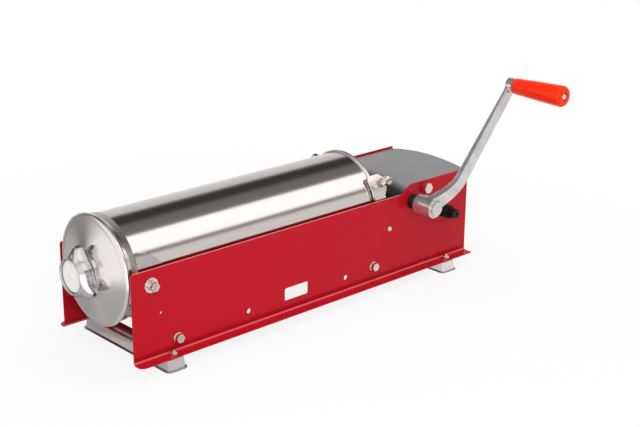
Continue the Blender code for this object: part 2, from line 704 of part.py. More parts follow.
def tie(model, name, point, tube_name, tube_r):
    """A flange bolt across the machine, its spacer tube and the flange nut outside the far panel."""
    x, z = point
    seat = HALF_WIDTH + GAP
    head = seat + TIE_FLANGE + NUT_HEIGHT
    end = -head - TIE_STICKOUT
    profile = [
        (0, head - NUT_HEIGHT / 2), (ROD_R, head - NUT_HEIGHT / 2), (ROD_R, seat + TIE_FLANGE),
        (TIE_FLANGE_TOP_R, seat + TIE_FLANGE), (TIE_FLANGE_R, seat + TIE_FLANGE_EDGE), (TIE_FLANGE_R, seat),
        (ROD_R, seat), (ROD_R, end + ROD_CHAMFER), (ROD_R - ROD_CHAMFER, end), (0, end),
    ]
    bolt = turned(model, f"{name}_bolt", profile, "bright_zinc", (x, 0, z), "-Y")
    thick = head - seat - TIE_FLANGE_EDGE / 2
    hexagon = plate("tie_head", [hexagon_outline(NUT_AF)], thick)
    model.cut(bolt, hexagon, (x, thick / 2 - head, z), UPRIGHT, "UNION")
    turned(model, tube_name, ring_profile(ROD_R + GAP, tube_r, GAP - INSIDE, INSIDE - GAP), "bright_zinc",
           (x, 0, z), "-Y", ROUND, closed=True)
    nut_name = f"{name}_nut"
    bore = ROD_R + GAP
    disc = ring_profile(bore, TIE_FLANGE_R, 0, TIE_FLANGE)
    disc[:1] = [(TIE_FLANGE_TOP_R, TIE_FLANGE), (TIE_FLANGE_R, TIE_FLANGE_EDGE)]
    nut = turned(model, nut_name, disc, "bright_zinc", (x, seat, z), "Y", closed=True)
    hexagon = plate("tie_nut", [hexagon_outline(NUT_AF), circle((0, 0), bore + THREAD_RELIEF)], thick)
    model.cut(nut, hexagon, (x, head - thick / 2, z), UPRIGHT, "UNION")


def barrel_tube(model):
    """Thin tube with a rolled rim at its open end."""
    middle = (BARREL_R + RIM_ROLL - BARREL_WALL, RIM_X)
    under = -math.degrees(math.acos((BARREL_R - middle[0]) / RIM_ROLL))
    profile = arc(middle, RIM_ROLL, 180, under, 5)
    profile += [(BARREL_R, BARREL_FRONT), (BORE_R, BARREL_FRONT)]
    turned(model, "barrel_tube", profile, "stainless", (0, 0, BARREL_Z), "X", BIG, closed=True)


def barrel_cap(model):
    """Spun front cap: skirt over the tube, rolled rim, shallow cone and a flat seat for the spigot."""
    skirt_r = BARREL_R + GAP + CAP_SHEET
    roll = (CAP_RIM_R - CAP_ROLL, CAP_ROLL_X)
    profile = [(skirt_r, CAP_SKIRT_END), (skirt_r, CAP_FLARE_X)] + arc(roll, CAP_ROLL, 50, -140, 4)
    cone_r, cone_x = profile[-1][0] - CAP_INSET, profile[-1][1]
    steps = 3
    for i in range(steps + 1):
        t = i / steps
        rise = (1 - CAP_DISH) * t + CAP_DISH * t * t
        profile.append((cone_r + (CAP_SEAT_R - cone_r) * t, cone_x + (CAP_FACE_X - cone_x) * rise))
    profile.append((SPIGOT_R + GAP, CAP_FACE_X))
    cap = turned(model, "barrel_cap", profile, "stainless", (0, 0, BARREL_Z), "X", BIG)
    sheet = cap.modifiers.new("Sheet", "SOLIDIFY")
    sheet.thickness = CAP_SHEET
    sheet.offset = -1
    sheet.use_even_offset = True


def trunnion_pad(model, name, side):
    """Saddle on the barrel's side with the pivot stud that goes through the panel."""
    inner = BARREL_R + GAP
    start = CAP_SKIRT_END + GAP
    profile = ring_profile(inner, inner + PAD_THICK, start, start + PAD_LENGTH)
    pad = turned(model, name, profile, "stainless", (0, 0, BARREL_Z), "X", BIG, closed=True)
    outward = "Y" if side > 0 else "-Y"
    trim_at = (PAD_X, side * BARREL_R / 3, PAD_Z)
    model.cut(pad, rod("pad_outline", PAD_R, BARREL_R, ROUND), trim_at, ALONG[outward], "INTERSECT")
    root = inner + PAD_THICK / 2
    shoulder = rod("stud_shoulder", STUD_SHOULDER_R, INSIDE - GAP - root)
    model.cut(pad, shoulder, (PIVOT[0], side * root, PIVOT[1]), ALONG[outward], "UNION")
    reach = HALF_WIDTH + PIVOT_WASHER + NUT_HEIGHT + LOCK_NUT + 4 * GAP
    stud = rod("stud", ROD_R, reach - root)
    model.cut(pad, stud, (PIVOT[0], side * root, PIVOT[1]), ALONG[outward], "UNION")


def pivot_hardware(model, label, side):
    """Washer, nut and lock nut on the pivot stud."""
    outward = "Y" if side > 0 else "-Y"
    seat = HALF_WIDTH + GAP
    at = (PIVOT[0], side * seat, PIVOT[1])
    turned(model, f"pivot_washer_{label}", ring_profile(ROD_R + GAP, PIVOT_WASHER_R, 0, PIVOT_WASHER),
           "bright_zinc", at, outward, ROUND, closed=True)
    nut_y = seat + PIVOT_WASHER + GAP
    hex_nut(model, f"pivot_nut_{label}", (at[0], side * nut_y, at[2]), outward, NUT_AF, ROD_R + GAP, NUT_HEIGHT)
    lock_y = nut_y + NUT_HEIGHT + GAP
    hex_nut(model, f"pivot_lock_nut_{label}", (at[0], side * lock_y, at[2]), outward, NUT_AF, ROD_R + GAP, LOCK_NUT)


def spigot(model):
    """Threaded neck through the cap, with the flange that the ring nut tightens towards."""
    seat = -CAP_FACE_X + GAP
    inside = -CAP_FACE_X - CAP_SHEET - SPIGOT_INSIDE
    profile = [
        (SPIGOT_R, -SPIGOT_END), (SPIGOT_R, seat + SPIGOT_FLANGE),
        (SPIGOT_FLANGE_R, seat + SPIGOT_FLANGE), (SPIGOT_FLANGE_R, seat),
        (SPIGOT_R, seat), (SPIGOT_R, inside), (SPIGOT_BORE, inside), (SPIGOT_BORE, -SPIGOT_END),
    ]
    turned(model, "spigot", profile, "cast_aluminium", (0, 0, BARREL_Z), "-X", BIG, closed=True)


def plug_disc(model, parent):
    """Disc that closes the spigot, held by the ring nut."""
    seat = -SPIGOT_END + GAP
    face = seat + PLUG_FLANGE + PLUG_RISE
    profile = [
        (0, face + PLUG_NUB), (PLUG_NUB_R - PLUG_NUB, face + PLUG_NUB), (PLUG_NUB_R, face),
        (PLUG_FACE_R - PLUG_EDGE, face), (PLUG_FACE_R, face - PLUG_EDGE), (PLUG_FACE_R, seat + PLUG_FLANGE),
        (PLUG_FLANGE_R, seat + PLUG_FLANGE), (PLUG_FLANGE_R, seat), (0, seat),
    ]
    turned(model, "plug_disc", profile, "white_plastic", (0, 0, 0), "-X", ROUND, parent=parent)


def ring_nut(model, parent):
    """Cast nut with finger lobes, a threaded bore and a front lip that holds the plug disc."""
    rear = -CAP_FACE_X + GAP + SPIGOT_FLANGE + NUT_THREAD_GAP
    lip = -SPIGOT_END + PLUG_FLANGE + 2 * GAP
    front = -NUT_FRONT
    bore = SPIGOT_R + NUT_THREAD_GAP
    levels = [
        (rear, NUT_BODY_R - NUT_EDGE, 0), (rear + NUT_ROUND, NUT_BODY_R, 1),
        (front - NUT_ROUND, NUT_BODY_R, NUT_FRONT_LOBE), (front, NUT_BODY_R - NUT_EDGE, 0),
        (front, NUT_OPENING_R, 0), (lip, NUT_OPENING_R, 0), (lip, bore, 0), (rear, bore, 0),
    ]
    rings = []
    for height, radius, lobe in levels:
        ring = []
        for i in range(BIG):
            angle = 2 * math.pi * i / BIG
            bulge = ((1 + math.cos(NUT_LOBES * angle)) / 2) ** NUT_LOBE_SHARPNESS
            reach = radius + lobe * NUT_LOBE * bulge
            ring.append((reach * math.cos(angle), reach * math.sin(angle), height))
        rings.append(ring)
    mesh = loft("ring_nut", rings, closed=True)
    model.add("ring_nut", mesh, "cast_aluminium", (0, 0, 0), ALONG["-X"], parent)


def piston(model, parent):
    """Two plates with the seal between them, clamped on the rack's stud."""
    bore = RACK_STUD_R + GAP
    front = ring_profile(bore, PISTON_PLATE_R, 0, PISTON_PLATE)
    front[1:2] = [(PISTON_PLATE_R, PISTON_CHAMFER), (PISTON_PLATE_R - PISTON_CHAMFER, 0)]
    turned(model, "piston_plate", front, "stainless", (PISTON_FRONT, 0, 0), "X", BIG, True, parent)
    seal_at = PISTON_FRONT + PISTON_PLATE + GAP
    seal = [
        (SEAL_R, SEAL_THICK), (SEAL_R, SEAL_THICK * (1 - SEAL_LIP)), (SEAL_R - SEAL_GROOVE, SEAL_THICK / 2),
        (SEAL_R, SEAL_THICK * SEAL_LIP), (SEAL_R, 0), (bore, 0), (bore, SEAL_THICK),
    ]
    turned(model, "piston_seal", seal, "clear_rubber", (seal_at, 0, 0), "X", BIG, True, parent)
    back = ring_profile(bore, PISTON_PLATE_R, 0, PISTON_BACK)
    back_at = seal_at + SEAL_THICK + GAP
    turned(model, "piston_back_plate", back, "stainless", (back_at, 0, 0), "X", BIG, True, parent)
    nut = hex_nut(model, "piston_nut", (0, 0, 0), "-X", PISTON_NUT_AF, bore, PISTON_NUT_HEIGHT)
    nut.parent = parent
    nut.location = (PISTON_FRONT - GAP - PISTON_NUT_HEIGHT / 2, 0, 0)


def rack(model, parent):
    """Square bar with rack teeth in its underside and the stud that carries the piston."""
    pitch = math.pi * RACK_MODULE
    middle = RACK_PITCH_Z - BARREL_Z
    tip, root, top = middle - RACK_MODULE, middle + DEDENDUM * RACK_MODULE, RACK_TOP - BARREL_Z
    half = pitch / 4 + BACKLASH / 4
    half_tip = half + RACK_MODULE * math.tan(PRESSURE_ANGLE)
    half_root = half - DEDENDUM * RACK_MODULE * math.tan(PRESSURE_ANGLE)
    start = PISTON_REAR + GAP
    outline = [(start, top), (start, tip)]
    first = math.floor(-TRAVEL / pitch) - 2
    last = math.floor((RACK_END - FAST_X) / pitch - RACK_END_LAND)
    for k in range(first, last + 1):
        gap = FAST_X + k * pitch
        outline += [(gap - half_tip, tip), (gap - half_root, root)]
        outline += [(gap + half_root, root), (gap + half_tip, tip)]
    outline += [(RACK_END, tip), (RACK_END, top)]
    bar = model.add("rack", plate("rack", [outline], RACK_WIDTH), "gear_steel", (0, 0, 0), UPRIGHT, parent)
    stud_start = PISTON_FRONT - GAP - PISTON_NUT_HEIGHT - RACK_STUD_STICKOUT
    stud = rod("rack_stud", RACK_STUD_R, start + RACK_STUD_ROOT - stud_start)
    model.cut(bar, stud, (stud_start, 0, 0), ALONG["X"], "UNION")


def involute(base, radius):
    """Polar angle of an involute at a radius."""
    turn = math.sqrt(max((radius / base) ** 2 - 1, 0))
    return turn - math.atan(turn)


def gear_outline(teeth, module, phase):
    """Involute teeth; the first one points along the phase angle."""
    pitch = teeth * module / 2
    base = pitch * math.cos(PRESSURE_ANGLE)
    tip = pitch + module
    root = pitch - DEDENDUM * module
    start = max(base, root)
    half = math.pi / (2 * teeth) - BACKLASH / (4 * pitch)
    at_pitch = half + involute(base, pitch)
    flank = [(r, at_pitch - involute(base, r)) for r in (start, tip)]
    if root < start:
        flank.insert(0, (root, flank[0][1]))
    outline = []
    for tooth in range(teeth):
        centre = phase + 2 * math.pi * tooth / teeth
        sides = [(r, centre - a) for r, a in flank] + [(r, centre + a) for r, a in reversed(flank)]
        outline += [(r * math.cos(a), r * math.sin(a)) for r, a in sides]
    return outline


def keyed_bore(radius):
    """Round bore with a keyway towards +X."""
    reach = math.degrees(math.asin((KEY_WIDTH / 2 + GAP) / radius))
    loop = arc((0, 0), radius, reach, 360 - reach, ROUND)
    depth = SHAFT_R + KEY_HEIGHT + GAP
    return loop + [(depth, -KEY_WIDTH / 2 - GAP), (depth, KEY_WIDTH / 2 + GAP)]


def gear(model, name, teeth, module, phase, face, y, parent, holes=()):
    """A spur gear with a keyed bore, its plane across the shaft at the given Y."""
    loops = [gear_outline(teeth, module, phase), keyed_bore(SHAFT_R + BORE_GAP)] + list(holes)
    return model.add(name, plate(name, loops, face), "gear_steel", (0, y, 0), UPRIGHT, parent)


def main_gear(model, parent):
    """The large gear, lightened by a ring of round holes."""
    holes = []
    for i in range(LIGHTENING_HOLES):
        angle = math.radians(36) + 2 * math.pi * i / LIGHTENING_HOLES
        centre = (LIGHTENING_PITCH_R * math.cos(angle), LIGHTENING_PITCH_R * math.sin(angle))
        holes.append(circle(centre, LIGHTENING_R))
    gear(model, "main_gear", MAIN_TEETH, GEAR_MODULE, MESH_ANGLE, GEAR_FACE, GEAR_Y, parent, holes)


def shaft(model, name, profile, slot, parent, key, tip, flat_length):
    """A turned shaft along -Y with one key and two flats at its crank end."""
    obj = turned(model, name, profile, slot, (0, 0, 0), "-Y", ROUND, parent=parent)
    key_top = SHAFT_R + KEY_HEIGHT
    model.cut(obj, block("key", SHAFT_R / 2, key_top, *key, -KEY_WIDTH / 2, KEY_WIDTH / 2), operation="UNION")
    beyond = SHAFT_R + OVERCUT
    for sign in (-1, 1):
        low, high = sorted((sign * SHAFT_FLAT, sign * beyond))
        flat = block("flat", -beyond, beyond, -tip - OVERCUT, flat_length - tip, low, high)
        model.cut(obj, flat)
    return obj


def fast_shaft(model, parent):
    """Shaft right across the machine; the crank on it drives the rack pinion directly."""
    far_end = -(HALF_WIDTH + FAR_BUSH_COLLAR - GAP)
    collar = -(INSIDE - BUSH_INSIDE - GAP)
    profile = [
        (0, FAST_TIP), (SHAFT_R - SHAFT_CHAMFER, FAST_TIP), (SHAFT_R, FAST_TIP - SHAFT_CHAMFER),
        (SHAFT_R, collar + SHAFT_COLLAR), (SHAFT_COLLAR_R, collar + SHAFT_COLLAR), (SHAFT_COLLAR_R, collar),
        (SHAFT_R, collar), (SHAFT_R, far_end), (0, far_end),
    ]
    key = (GEAR_Y - GEAR_FACE / 2, PINION_FACE / 2)
    bush_end = HALF_WIDTH + GAP + FAST_BUSH_COLLAR
    obj = shaft(model, "fast_shaft", profile, "black_steel", parent, key, FAST_TIP, FAST_TIP - bush_end)
    centre_hole = rod("centre_hole", CENTRE_HOLE_R, CENTRE_HOLE + OVERCUT)
    model.cut(obj, centre_hole, (0, CENTRE_HOLE - FAST_TIP, 0), ALONG["-Y"])


def slow_shaft(model, parent):
    """Short shaft in the near panel and the gear plate; its small gear turns the main gear."""
    inner_end = -GEAR_PLATE_Y - GEAR_PLATE_SHEET / 2 - INNER_BUSH_INSIDE
    tip = HUB_START + HUB_LENGTH - SHAFT_CHAMFER
    profile = [
        (0, tip), (SHAFT_R - SHAFT_CHAMFER, tip), (SHAFT_R, tip - SHAFT_CHAMFER),
        (SHAFT_R, inner_end + SHAFT_CHAMFER), (SHAFT_R - SHAFT_CHAMFER, inner_end), (0, inner_end),
    ]
    key = (GEAR_Y - GEAR_FACE / 2, GEAR_Y + GEAR_FACE / 2)
    shaft(model, "slow_shaft", profile, "black_steel", parent, key, tip, tip - HUB_START + GAP)


def bush(model, name, at, along, collar_r, collar, body_r, body):
    """Flanged bush: its collar stands on the sheet, its body goes through it."""
    bore = SHAFT_R + BORE_GAP
    profile = [(collar_r, collar), (collar_r, 0), (body_r, 0), (body_r, -body), (bore, -body), (bore, collar)]
    turned(model, name, profile, "black_plastic", at, along, ROUND, closed=True)


def bushes(model):
    seat = HALF_WIDTH + GAP
    body = PANEL_SHEET + GAP + BUSH_INSIDE
    slow_at = (SLOW_X, -seat, SLOW_Z)
    bush(model, "slow_shaft_bush", slow_at, "-Y", SLOW_BUSH_COLLAR_R, SLOW_BUSH_COLLAR, BUSH_R, body)
    fast_at = (FAST_X, -seat, FAST_Z)
    bush(model, "fast_shaft_bush", fast_at, "-Y", FAST_BUSH_COLLAR_R, FAST_BUSH_COLLAR, BUSH_R, body)
    far_at = (FAST_X, seat, FAST_Z)
    bush(model, "fast_shaft_far_bush", far_at, "Y", FAST_BUSH_COLLAR_R, FAR_BUSH_COLLAR, BUSH_R, body)
    plate_face = GEAR_PLATE_Y - GEAR_PLATE_SHEET / 2 - GAP
    bush(model, "slow_shaft_inner_bush", (SLOW_X, plate_face, SLOW_Z), "-Y", INNER_BUSH_COLLAR_R,
         INNER_BUSH_COLLAR, INNER_BUSH_R, GEAR_PLATE_SHEET + INNER_BUSH_INSIDE)


def gear_plate(model):
    """Inner bearing plate between the gears and the rack."""
    front = SLOW_X - GEAR_PLATE_AHEAD
    rear = REAR_PLATE_X - REAR_PLATE_SHEET / 2 - GAP
    bottom, top = FAST_Z - GEAR_PLATE_BELOW, SLOW_Z + GEAR_PLATE_ABOVE
    slant = [(SLOW_X, top), (front, top - GEAR_PLATE_SLANT)]
    corners = [(front, bottom), (rear, bottom), (rear, top)] + slant
    loops = [
        rounded(corners, GEAR_PLATE_CORNER), circle((SLOW_X, SLOW_Z), INNER_BUSH_R + GAP, ROUND),
        circle((FAST_X, FAST_Z), SHAFT_R + KEY_HEIGHT + SLOT_SIDE, ROUND), circle(CROSS, CROSS_R + GAP),
    ]
    mesh = plate("gear_plate", loops, GEAR_PLATE_SHEET)
    model.add("gear_plate", mesh, "gear_steel", (0, GEAR_PLATE_Y, 0), UPRIGHT)


def cross_bolt(model, roller_axis):
    """Bolt across the gearbox with its sleeves, nut and the roller that backs the rack."""
    x, z = CROSS
    seat = HALF_WIDTH + CROSS_BOSS + GAP
    far_seat = HALF_WIDTH + GAP
    length = seat + far_seat + CROSS_NUT + CROSS_STICKOUT
    hex_bolt(model, "cross_bolt", (x, -seat, z), "Y", CROSS_R, CROSS_AF, CROSS_HEAD, length)
    hex_nut(model, "cross_bolt_nut", (x, far_seat, z), "Y", CROSS_AF, CROSS_R + GAP, CROSS_NUT)
    bore = CROSS_R + BORE_GAP
    plate_near = GEAR_PLATE_Y - GEAR_PLATE_SHEET / 2 - GAP
    plate_far = GEAR_PLATE_Y + GEAR_PLATE_SHEET / 2 + GAP
    side = PINION_FACE / 2
    turned(model, "cross_sleeve_near", ring_profile(bore, SLEEVE_R, GAP - INSIDE, plate_near), "bright_zinc",
           (x, 0, z), "Y", closed=True)
    turned(model, "cross_sleeve_far", ring_profile(bore, SLEEVE_R, side + GAP, INSIDE - GAP), "bright_zinc",
           (x, 0, z), "Y", closed=True)
    profile = [
        (ROLLER_R, side), (ROLLER_R, -side), (ROLLER_HUB_R, -side), (ROLLER_HUB_R, plate_far),
        (bore, plate_far), (bore, side),
    ]
    turned(model, "backup_roller", profile, "gear_steel", (0, 0, 0), "Y", ROUND, True, roller_axis)


def vault_drop(y):
    """How far the vaulted sheet lies below its crown."""
    return COVER_VAULT_R - math.sqrt(COVER_VAULT_R ** 2 - y * y)


def cover_path():
    """Crown line of the cover from its rear edge, over the step and down the front wall."""
    low = COVER_CROWN - STEP_HEIGHT
    bend_x = COVER_WALL_X + COVER_BEND
    path = [(COVER_REAR, COVER_CROWN)]
    path += [(x, low + STEP_HEIGHT * rise) for x, rise in reversed(list(step_curve(bend_x, STEP_END, 6)))]
    path += arc((bend_x, low - COVER_BEND), COVER_BEND, 90, 180, 4)[1:]
    return path + [(COVER_WALL_X, COVER_WALL_BOTTOM)]


def gearbox_cover(model):
    """One painted sheet: vaulted top that follows the panels' step, front wall and side lips."""
    path = cover_path()
    steps = 8
    columns = [COVER_HALF * (2 * i / steps - 1) for i in range(steps + 1)]
    bm = bmesh.new()
    rows = []
    for i, (x, z) in enumerate(path):
        before, after = path[max(i - 1, 0)], path[min(i + 1, len(path) - 1)]
        run = Vector((after[0] - before[0], after[1] - before[1])).normalized()
        lip = Vector((-run.y, run.x)) * COVER_LIP
        row = [(x, y, z - vault_drop(y)) for y in columns]
        row.insert(0, (x + lip.x, columns[0], row[0][2] + lip.y))
        row.append((x + lip.x, columns[-1], row[-1][2] + lip.y))
        rows.append([bm.verts.new(point) for point in row])
    for behind, ahead in zip(rows, rows[1:]):
        for a, b, c, d in zip(behind, behind[1:], ahead[1:], ahead):
            bm.faces.new((a, b, c, d))
    mesh = bpy.data.meshes.new("gearbox_cover")
    bm.to_mesh(mesh)
    bm.free()
    cover = model.add("gearbox_cover", mesh, "grey_paint")
    sheet = cover.modifiers.new("Sheet", "SOLIDIFY")
    sheet.thickness = COVER_SHEET
    sheet.offset = -1
    sheet.use_even_offset = True
    slot = RACK_WIDTH / 2 + SLOT_SIDE
    low = RACK_PITCH_Z - RACK_MODULE - SLOT_SIDE
    wall = (COVER_WALL_X - OVERCUT, COVER_WALL_X + OVERCUT / 2)
    model.cut(cover, block("rack_slot", *wall, -slot, slot, low, RACK_TOP + SLOT_SIDE))
    reach = SLEEVE_R + SLOT_SIDE
    top = CROSS[1] + SLEEVE_R + GAP
    notch = block("lip_notch", CROSS[0] - reach, CROSS[0] + reach, -INSIDE, INSIDE, top - 2 * COVER_LIP, top)
    model.cut(cover, notch)


def rear_plate(model):
    """Channel-shaped closing plate behind the gears, with the slot that the rack runs out through."""
    half = COVER_HALF
    front = REAR_PLATE_X - REAR_PLATE_FLANGE
    back = REAR_PLATE_X + REAR_PLATE_SHEET / 2
    inner = half - REAR_PLATE_SHEET
    section = [
        (back, -half), (back, half), (front, half), (front, inner),
        (back - REAR_PLATE_SHEET, inner), (back - REAR_PLATE_SHEET, -inner), (front, -inner), (front, -half),
    ]
    top = COVER_CROWN - COVER_SHEET - GAP
    height = top - REAR_PLATE_BOTTOM
    obj = model.add("rear_plate", plate("rear_plate", [section], height + OVERCUT), "gear_steel",
                    (0, 0, REAR_PLATE_BOTTOM + (height + OVERCUT) / 2))
    shoulder = COVER_EDGE - COVER_LIP - REAR_PLATE_SHOULDER
    neck = half - COVER_SHEET - 2 * GAP
    crown = [(neck * (1 - i / 4), 0) for i in range(9)]
    outline = [(-half - OVERCUT, REAR_PLATE_BOTTOM - OVERCUT), (half + OVERCUT, REAR_PLATE_BOTTOM - OVERCUT)]
    outline += [(half + OVERCUT, shoulder), (neck, shoulder)]
    outline += [(y, top - vault_drop(y)) for y, _ in crown]
    outline += [(-neck, shoulder), (-half - OVERCUT, shoulder)]
    shape = plate("rear_outline", [outline], 4 * REAR_PLATE_FLANGE)
    model.cut(obj, shape, (REAR_PLATE_X, 0, 0), ACROSS, "INTERSECT")
    slot = RACK_WIDTH / 2 + SLOT_SIDE
    low = RACK_PITCH_Z - RACK_MODULE - SLOT_SIDE
    model.cut(obj, block("rear_slot", back - OVERCUT, back + OVERCUT, -slot, slot, low, RACK_TOP + SLOT_SIDE))


def arm_ring(along):
    """Section of the crank's arm at a distance from the hub's axis."""
    turn = min(along / ARM_BEND, 1) * math.pi / 2
    swing = math.sin(turn)
    thick = ARM_ROOT_THICK + (ARM_TIP_THICK - ARM_ROOT_THICK) * along / CRANK_RADIUS
    reach = ARM_REAR + thick / 2 - HUB_MIDDLE
    slope = reach * math.cos(turn) * math.pi / 2 / ARM_BEND
    half_thick = thick / 2 * math.hypot(1, slope)
    half_width = (1 - swing) * (HUB_R - HUB_EDGE) + swing * ARM_WIDTH / 2
    lean = ARM_LEAN * along / CRANK_RADIUS
    middle = ARM_DIRECTION * along + Vector((0, -HUB_MIDDLE - swing * reach - lean, 0))
    across = Vector((-ARM_DIRECTION.z, 0, ARM_DIRECTION.x))
    outline = rounded(box_corners(-half_width, half_width, -half_thick, half_thick), ARM_CORNER, 2)
    return [middle + across * u + Vector((0, v, 0)) for u, v in outline]


def crank(model, parent):
    """Cast crank: hub with a flatted bore, an arm that swings clear of the panel, and a boss for the grip."""
    steps = 6
    rings = [arm_ring(ARM_BEND * i / steps) for i in range(steps + 1)] + [arm_ring(CRANK_RADIUS)]
    arm = model.add("crank", loft("crank", rings), "cast_aluminium", (0, 0, 0), (0, 0, 0), parent)
    model.cut(arm, rod("hub", HUB_R, HUB_LENGTH, ROUND), (0, -HUB_START, 0), ALONG["-Y"], "UNION")
    hub_face = HUB_START + HUB_LENGTH
    boss = rod("hub_boss", HUB_BOSS_R, 2 * HUB_BOSS, ROUND, HUB_BOSS_R - HUB_EDGE)
    model.cut(arm, boss, (0, HUB_BOSS - hub_face, 0), ALONG["-Y"], "UNION")
    tip = ARM_DIRECTION * CRANK_RADIUS
    tip_boss = rod("tip_boss", TIP_BOSS_R, TIP_FRONT - TIP_REAR, ROUND)
    model.cut(arm, tip_boss, (tip.x, -TIP_REAR, tip.z), ALONG["-Y"], "UNION")
    bore = flatted(SHAFT_R + BORE_GAP, SHAFT_FLAT + GAP)
    depth = HUB_LENGTH - SHAFT_CHAMFER + GAP + OVERCUT
    bore_at = (0, depth / 2 - HUB_START - depth + OVERCUT, 0)
    model.cut(arm, plate("shaft_bore", [bore], depth), bore_at, UPRIGHT)
    hole = rod("spindle_hole", SPINDLE_R + GAP, TIP_FRONT - TIP_REAR + 2 * OVERCUT)
    model.cut(arm, hole, (tip.x, OVERCUT - TIP_REAR, tip.z), ALONG["-Y"])


def grip(model, parent):
    """Tapered handle that turns on its spindle, with a recess for the spindle's head."""
    bore = SPINDLE_R + BORE_GAP
    floor = GRIP_LENGTH - GRIP_RECESS
    shoulder = GRIP_LARGE_R - GRIP_END_ROUND
    end = arc((shoulder, GRIP_LENGTH - GRIP_END_ROUND), GRIP_END_ROUND, 90, 0, 3)
    swell = GRIP_LARGE_R - GRIP_SMALL_R
    rise = GRIP_LENGTH - GRIP_END_ROUND
    belly = [(GRIP_SMALL_R + swell * (math.sin(math.pi / 2 * t) + t) / 2, rise * t) for t in (0.7, 0.35)]
    profile = [(GRIP_RECESS_R, GRIP_LENGTH)] + end + belly
    profile += [(GRIP_SMALL_R, 0), (bore, 0), (bore, floor), (GRIP_RECESS_R, floor)]
    turned(model, "grip", profile, "orange_plastic", (0, -GRIP_START, 0), "-Y", ROUND, True, parent)


def grip_spindle(model, parent):
    """Headed spindle through the grip, riveted in the arm."""
    head = GRIP_START + GRIP_LENGTH - GRIP_RECESS + GAP
    end = TIP_REAR
    top = head + SPINDLE_HEAD
    profile = [
        (0, top), (SPINDLE_HEAD_R * SPINDLE_TOP, top), (SPINDLE_HEAD_R, head + SPINDLE_HEAD / 2),
        (SPINDLE_HEAD_R, head), (SPINDLE_R, head), (SPINDLE_R, end), (0, end),
    ]
    tip = ARM_DIRECTION * CRANK_RADIUS
    turned(model, "grip_spindle", profile, "bright_zinc", (tip.x, 0, tip.z), "-Y", parent=parent)


def latch_rows():
    """Outline of the flat lever: height above the barrel axis, or wrap angle past it, with both edges."""
    x, z = LATCH_PIVOT
    for degrees in (-70, -45, -20, 0):
        turn = math.radians(degrees)
        reach = LATCH_FOOT_R * math.cos(turn)
        yield z + LATCH_FOOT_R * math.sin(turn) - BARREL_Z, 0, x - reach, x + reach
    back = LATCH_FRONT + LATCH_WIDTH
    tab = KNOB_X + KNOB_R + TAB_MARGIN - back
    yield 0, 0, LATCH_FRONT + LATCH_NECK, back + LATCH_NECK
    steps = 8
    for i in range(1, steps + 1):
        turn = LATCH_WRAP * i / steps
        away = min(abs(turn - KNOB_ANGLE) / TAB_SPREAD, 1)
        bulge = tab * math.cos(away * math.pi / 2)
        shift = LATCH_NECK * max(0, 1 - i / 3)
        inset = LATCH_END_CORNER if i == steps else 0
        yield 0, turn, LATCH_FRONT + shift + inset, back + shift + bulge - inset


def latch(model, label, side):
    """Sheet lever that hooks over the rolled rim, with its rivet and finger knob."""
    x, z = LATCH_PIVOT
    axis = model.empty(f"latch_axis_{label}", (x, 0, z), model.datum)
    rings = []
    for height, turn, front, back in latch_rows():
        ring = []
        edges = [(LATCH_INNER_R, front), (LATCH_INNER_R, back), (LATCH_OUTER_R, back), (LATCH_OUTER_R, front)]
        for radius, edge in edges:
            y = side * radius * math.cos(turn)
            ring.append((edge - x, y, BARREL_Z - z + height + radius * math.sin(turn)))
        rings.append(ring)
    name = f"latch_lever_{label}"
    lever = model.add(name, loft(name, rings), "stainless", (0, 0, 0), (0, 0, 0), axis)
    outward = "Y" if side > 0 else "-Y"
    hole = rod("rivet_hole", LATCH_RIVET_R + BORE_GAP, 2 * OVERCUT)
    model.cut(lever, hole, (0, side * (LATCH_INNER_R - OVERCUT), 0), ALONG[outward])
    tilt = (-side * (math.pi / 2 - KNOB_ANGLE), 0, 0)
    radial = Vector((0, side * math.cos(KNOB_ANGLE), math.sin(KNOB_ANGLE)))
    middle = Vector((KNOB_X - x, 0, BARREL_Z - z))
    pin_hole = rod("knob_hole", KNOB_PIN_R + GAP, 2 * OVERCUT)
    model.cut(lever, pin_hole, middle + radial * (LATCH_INNER_R - OVERCUT), tilt)
    top = KNOB_NECK + KNOB_HEIGHT
    back = -LATCH_SHEET - 2 * GAP
    knob = [(0, top)] + arc((KNOB_R - KNOB_ROUND, top - KNOB_ROUND), KNOB_ROUND, 90, 0, 2)
    knob += [(KNOB_R, KNOB_NECK), (KNOB_NECK_R, KNOB_NECK), (KNOB_NECK_R, 0), (KNOB_PIN_R, 0)]
    knob += [(KNOB_PIN_R, back), (KNOB_TAIL_R, back), (KNOB_TAIL_R, back - KNOB_TAIL), (0, back - KNOB_TAIL)]
    obj = turned(model, f"latch_knob_{label}", knob, "bright_zinc", (0, 0, 0), "Z", SMALL, parent=axis)
    obj.rotation_euler = tilt
    obj.location = middle + radial * (LATCH_OUTER_R + GAP)
    rivet(model, f"latch_rivet_{label}", side)


def rivet(model, name, side):
    """Shouldered rivet that the latch lever turns on."""
    x, z = LATCH_PIVOT
    face = HALF_WIDTH + GAP
    r, head = LATCH_RIVET_R, LATCH_RIVET_HEAD_R
    tail = LATCH_INNER_R - GAP
    ring = (head * LATCH_RIVET_TOP[0], face + LATCH_RIVET_HEAD * LATCH_RIVET_TOP[1])
    profile = [
        (0, face + LATCH_RIVET_HEAD), ring, (head, face), (r, face),
        (r, INSIDE - GAP), (head, INSIDE - GAP), (head, LATCH_OUTER_R + GAP), (r, LATCH_OUTER_R + GAP),
        (r, tail), (head, tail), (head, tail - LATCH_RIVET_TAIL), (0, tail - LATCH_RIVET_TAIL),
    ]
    turned(model, name, profile, "bright_zinc", (x, 0, z), "Y" if side > 0 else "-Y")


